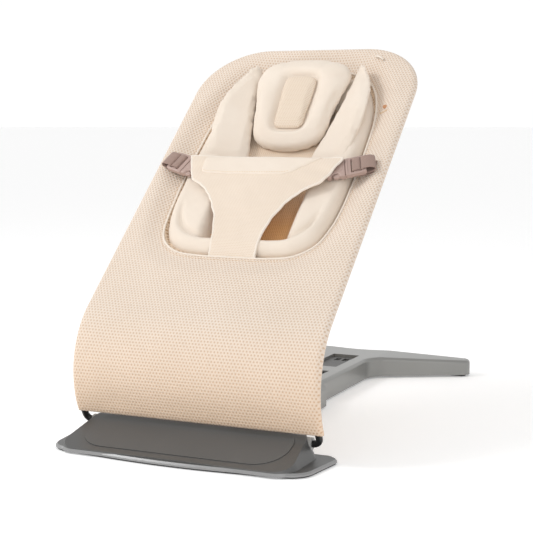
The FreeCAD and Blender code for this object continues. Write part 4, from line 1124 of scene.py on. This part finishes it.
def studio():
    corners = [(-30, -30, 0), (30, -30, 0), (30, 60, 0), (-30, 60, 0)]
    floor = new_object("studio_floor", corners, [(0, 1, 2, 3)])
    mat, _, _, shader = material("floor_paper", (0.95, 0.95, 0.95), 0.8)
    shader.inputs["Emission Color"].default_value = (1, 1, 1, 1)
    shader.inputs["Emission Strength"].default_value = 0.22
    floor.data.materials.append(mat)
    floor.location.z = -0.0005
    bpy.context.scene.view_settings.view_transform = "Standard"
    world = bpy.data.worlds.new("studio")
    bpy.context.scene.world = world
    world.use_nodes = True
    nodes, links = world.node_tree.nodes, world.node_tree.links
    split = nodes.new("ShaderNodeSeparateXYZ")
    links.new(nodes.new("ShaderNodeTexCoord").outputs["Generated"], split.inputs[0])
    sky = ramp(nodes, links, split.outputs["Z"], 0.15, 0.95, (1, 1, 1), (0.62, 0.62, 0.62))
    links.new(sky, nodes["Background"].inputs["Color"])
    nodes["Background"].inputs["Strength"].default_value = 1.01
    for name, place, size, power in (("key", (-1.6, -1.1, 1.9), 0.8, 22), ("fill", (1.6, -2.6, 0.7), 1.6, 7),
                                     ("top", (0.1, 0.3, 2.9), 2.4, 3)):
        light = bpy.data.lights.new(name, "AREA")
        light.size, light.energy = size, power
        lamp = linked(name, light)
        lamp.location = place
        lamp.rotation_euler = (Vector((0, 0, 0.25)) - Vector(place)).to_track_quat("-Z", "Y").to_euler()


def camera():
    turn, tilt = math.radians(24.33), math.radians(6.667)
    ahead = Vector((-math.sin(turn) * math.cos(tilt), math.cos(turn) * math.cos(tilt), -math.sin(tilt)))
    right = Vector((math.cos(turn), math.sin(turn), 0))
    up = right.cross(ahead)
    data = bpy.data.cameras.new("camera")
    data.lens, data.sensor_width = 87.69, 36.0
    data.clip_start, data.clip_end = 0.05, 50
    obj = linked("camera", data)
    axes = Matrix((right, up, -ahead)).transposed().to_4x4()
    obj.matrix_world = Matrix.Translation((0.84123, -1.92374, 0.47928)) @ axes
    bpy.context.scene.camera = obj


soft_pieces()
for buckle_side, buckle_sign in (("left", -1), ("right", 1)):
    make_buckle(buckle_side, buckle_sign)
trim_pieces()
dress_frame()
painted_rim_highlight()
studio()
camera()
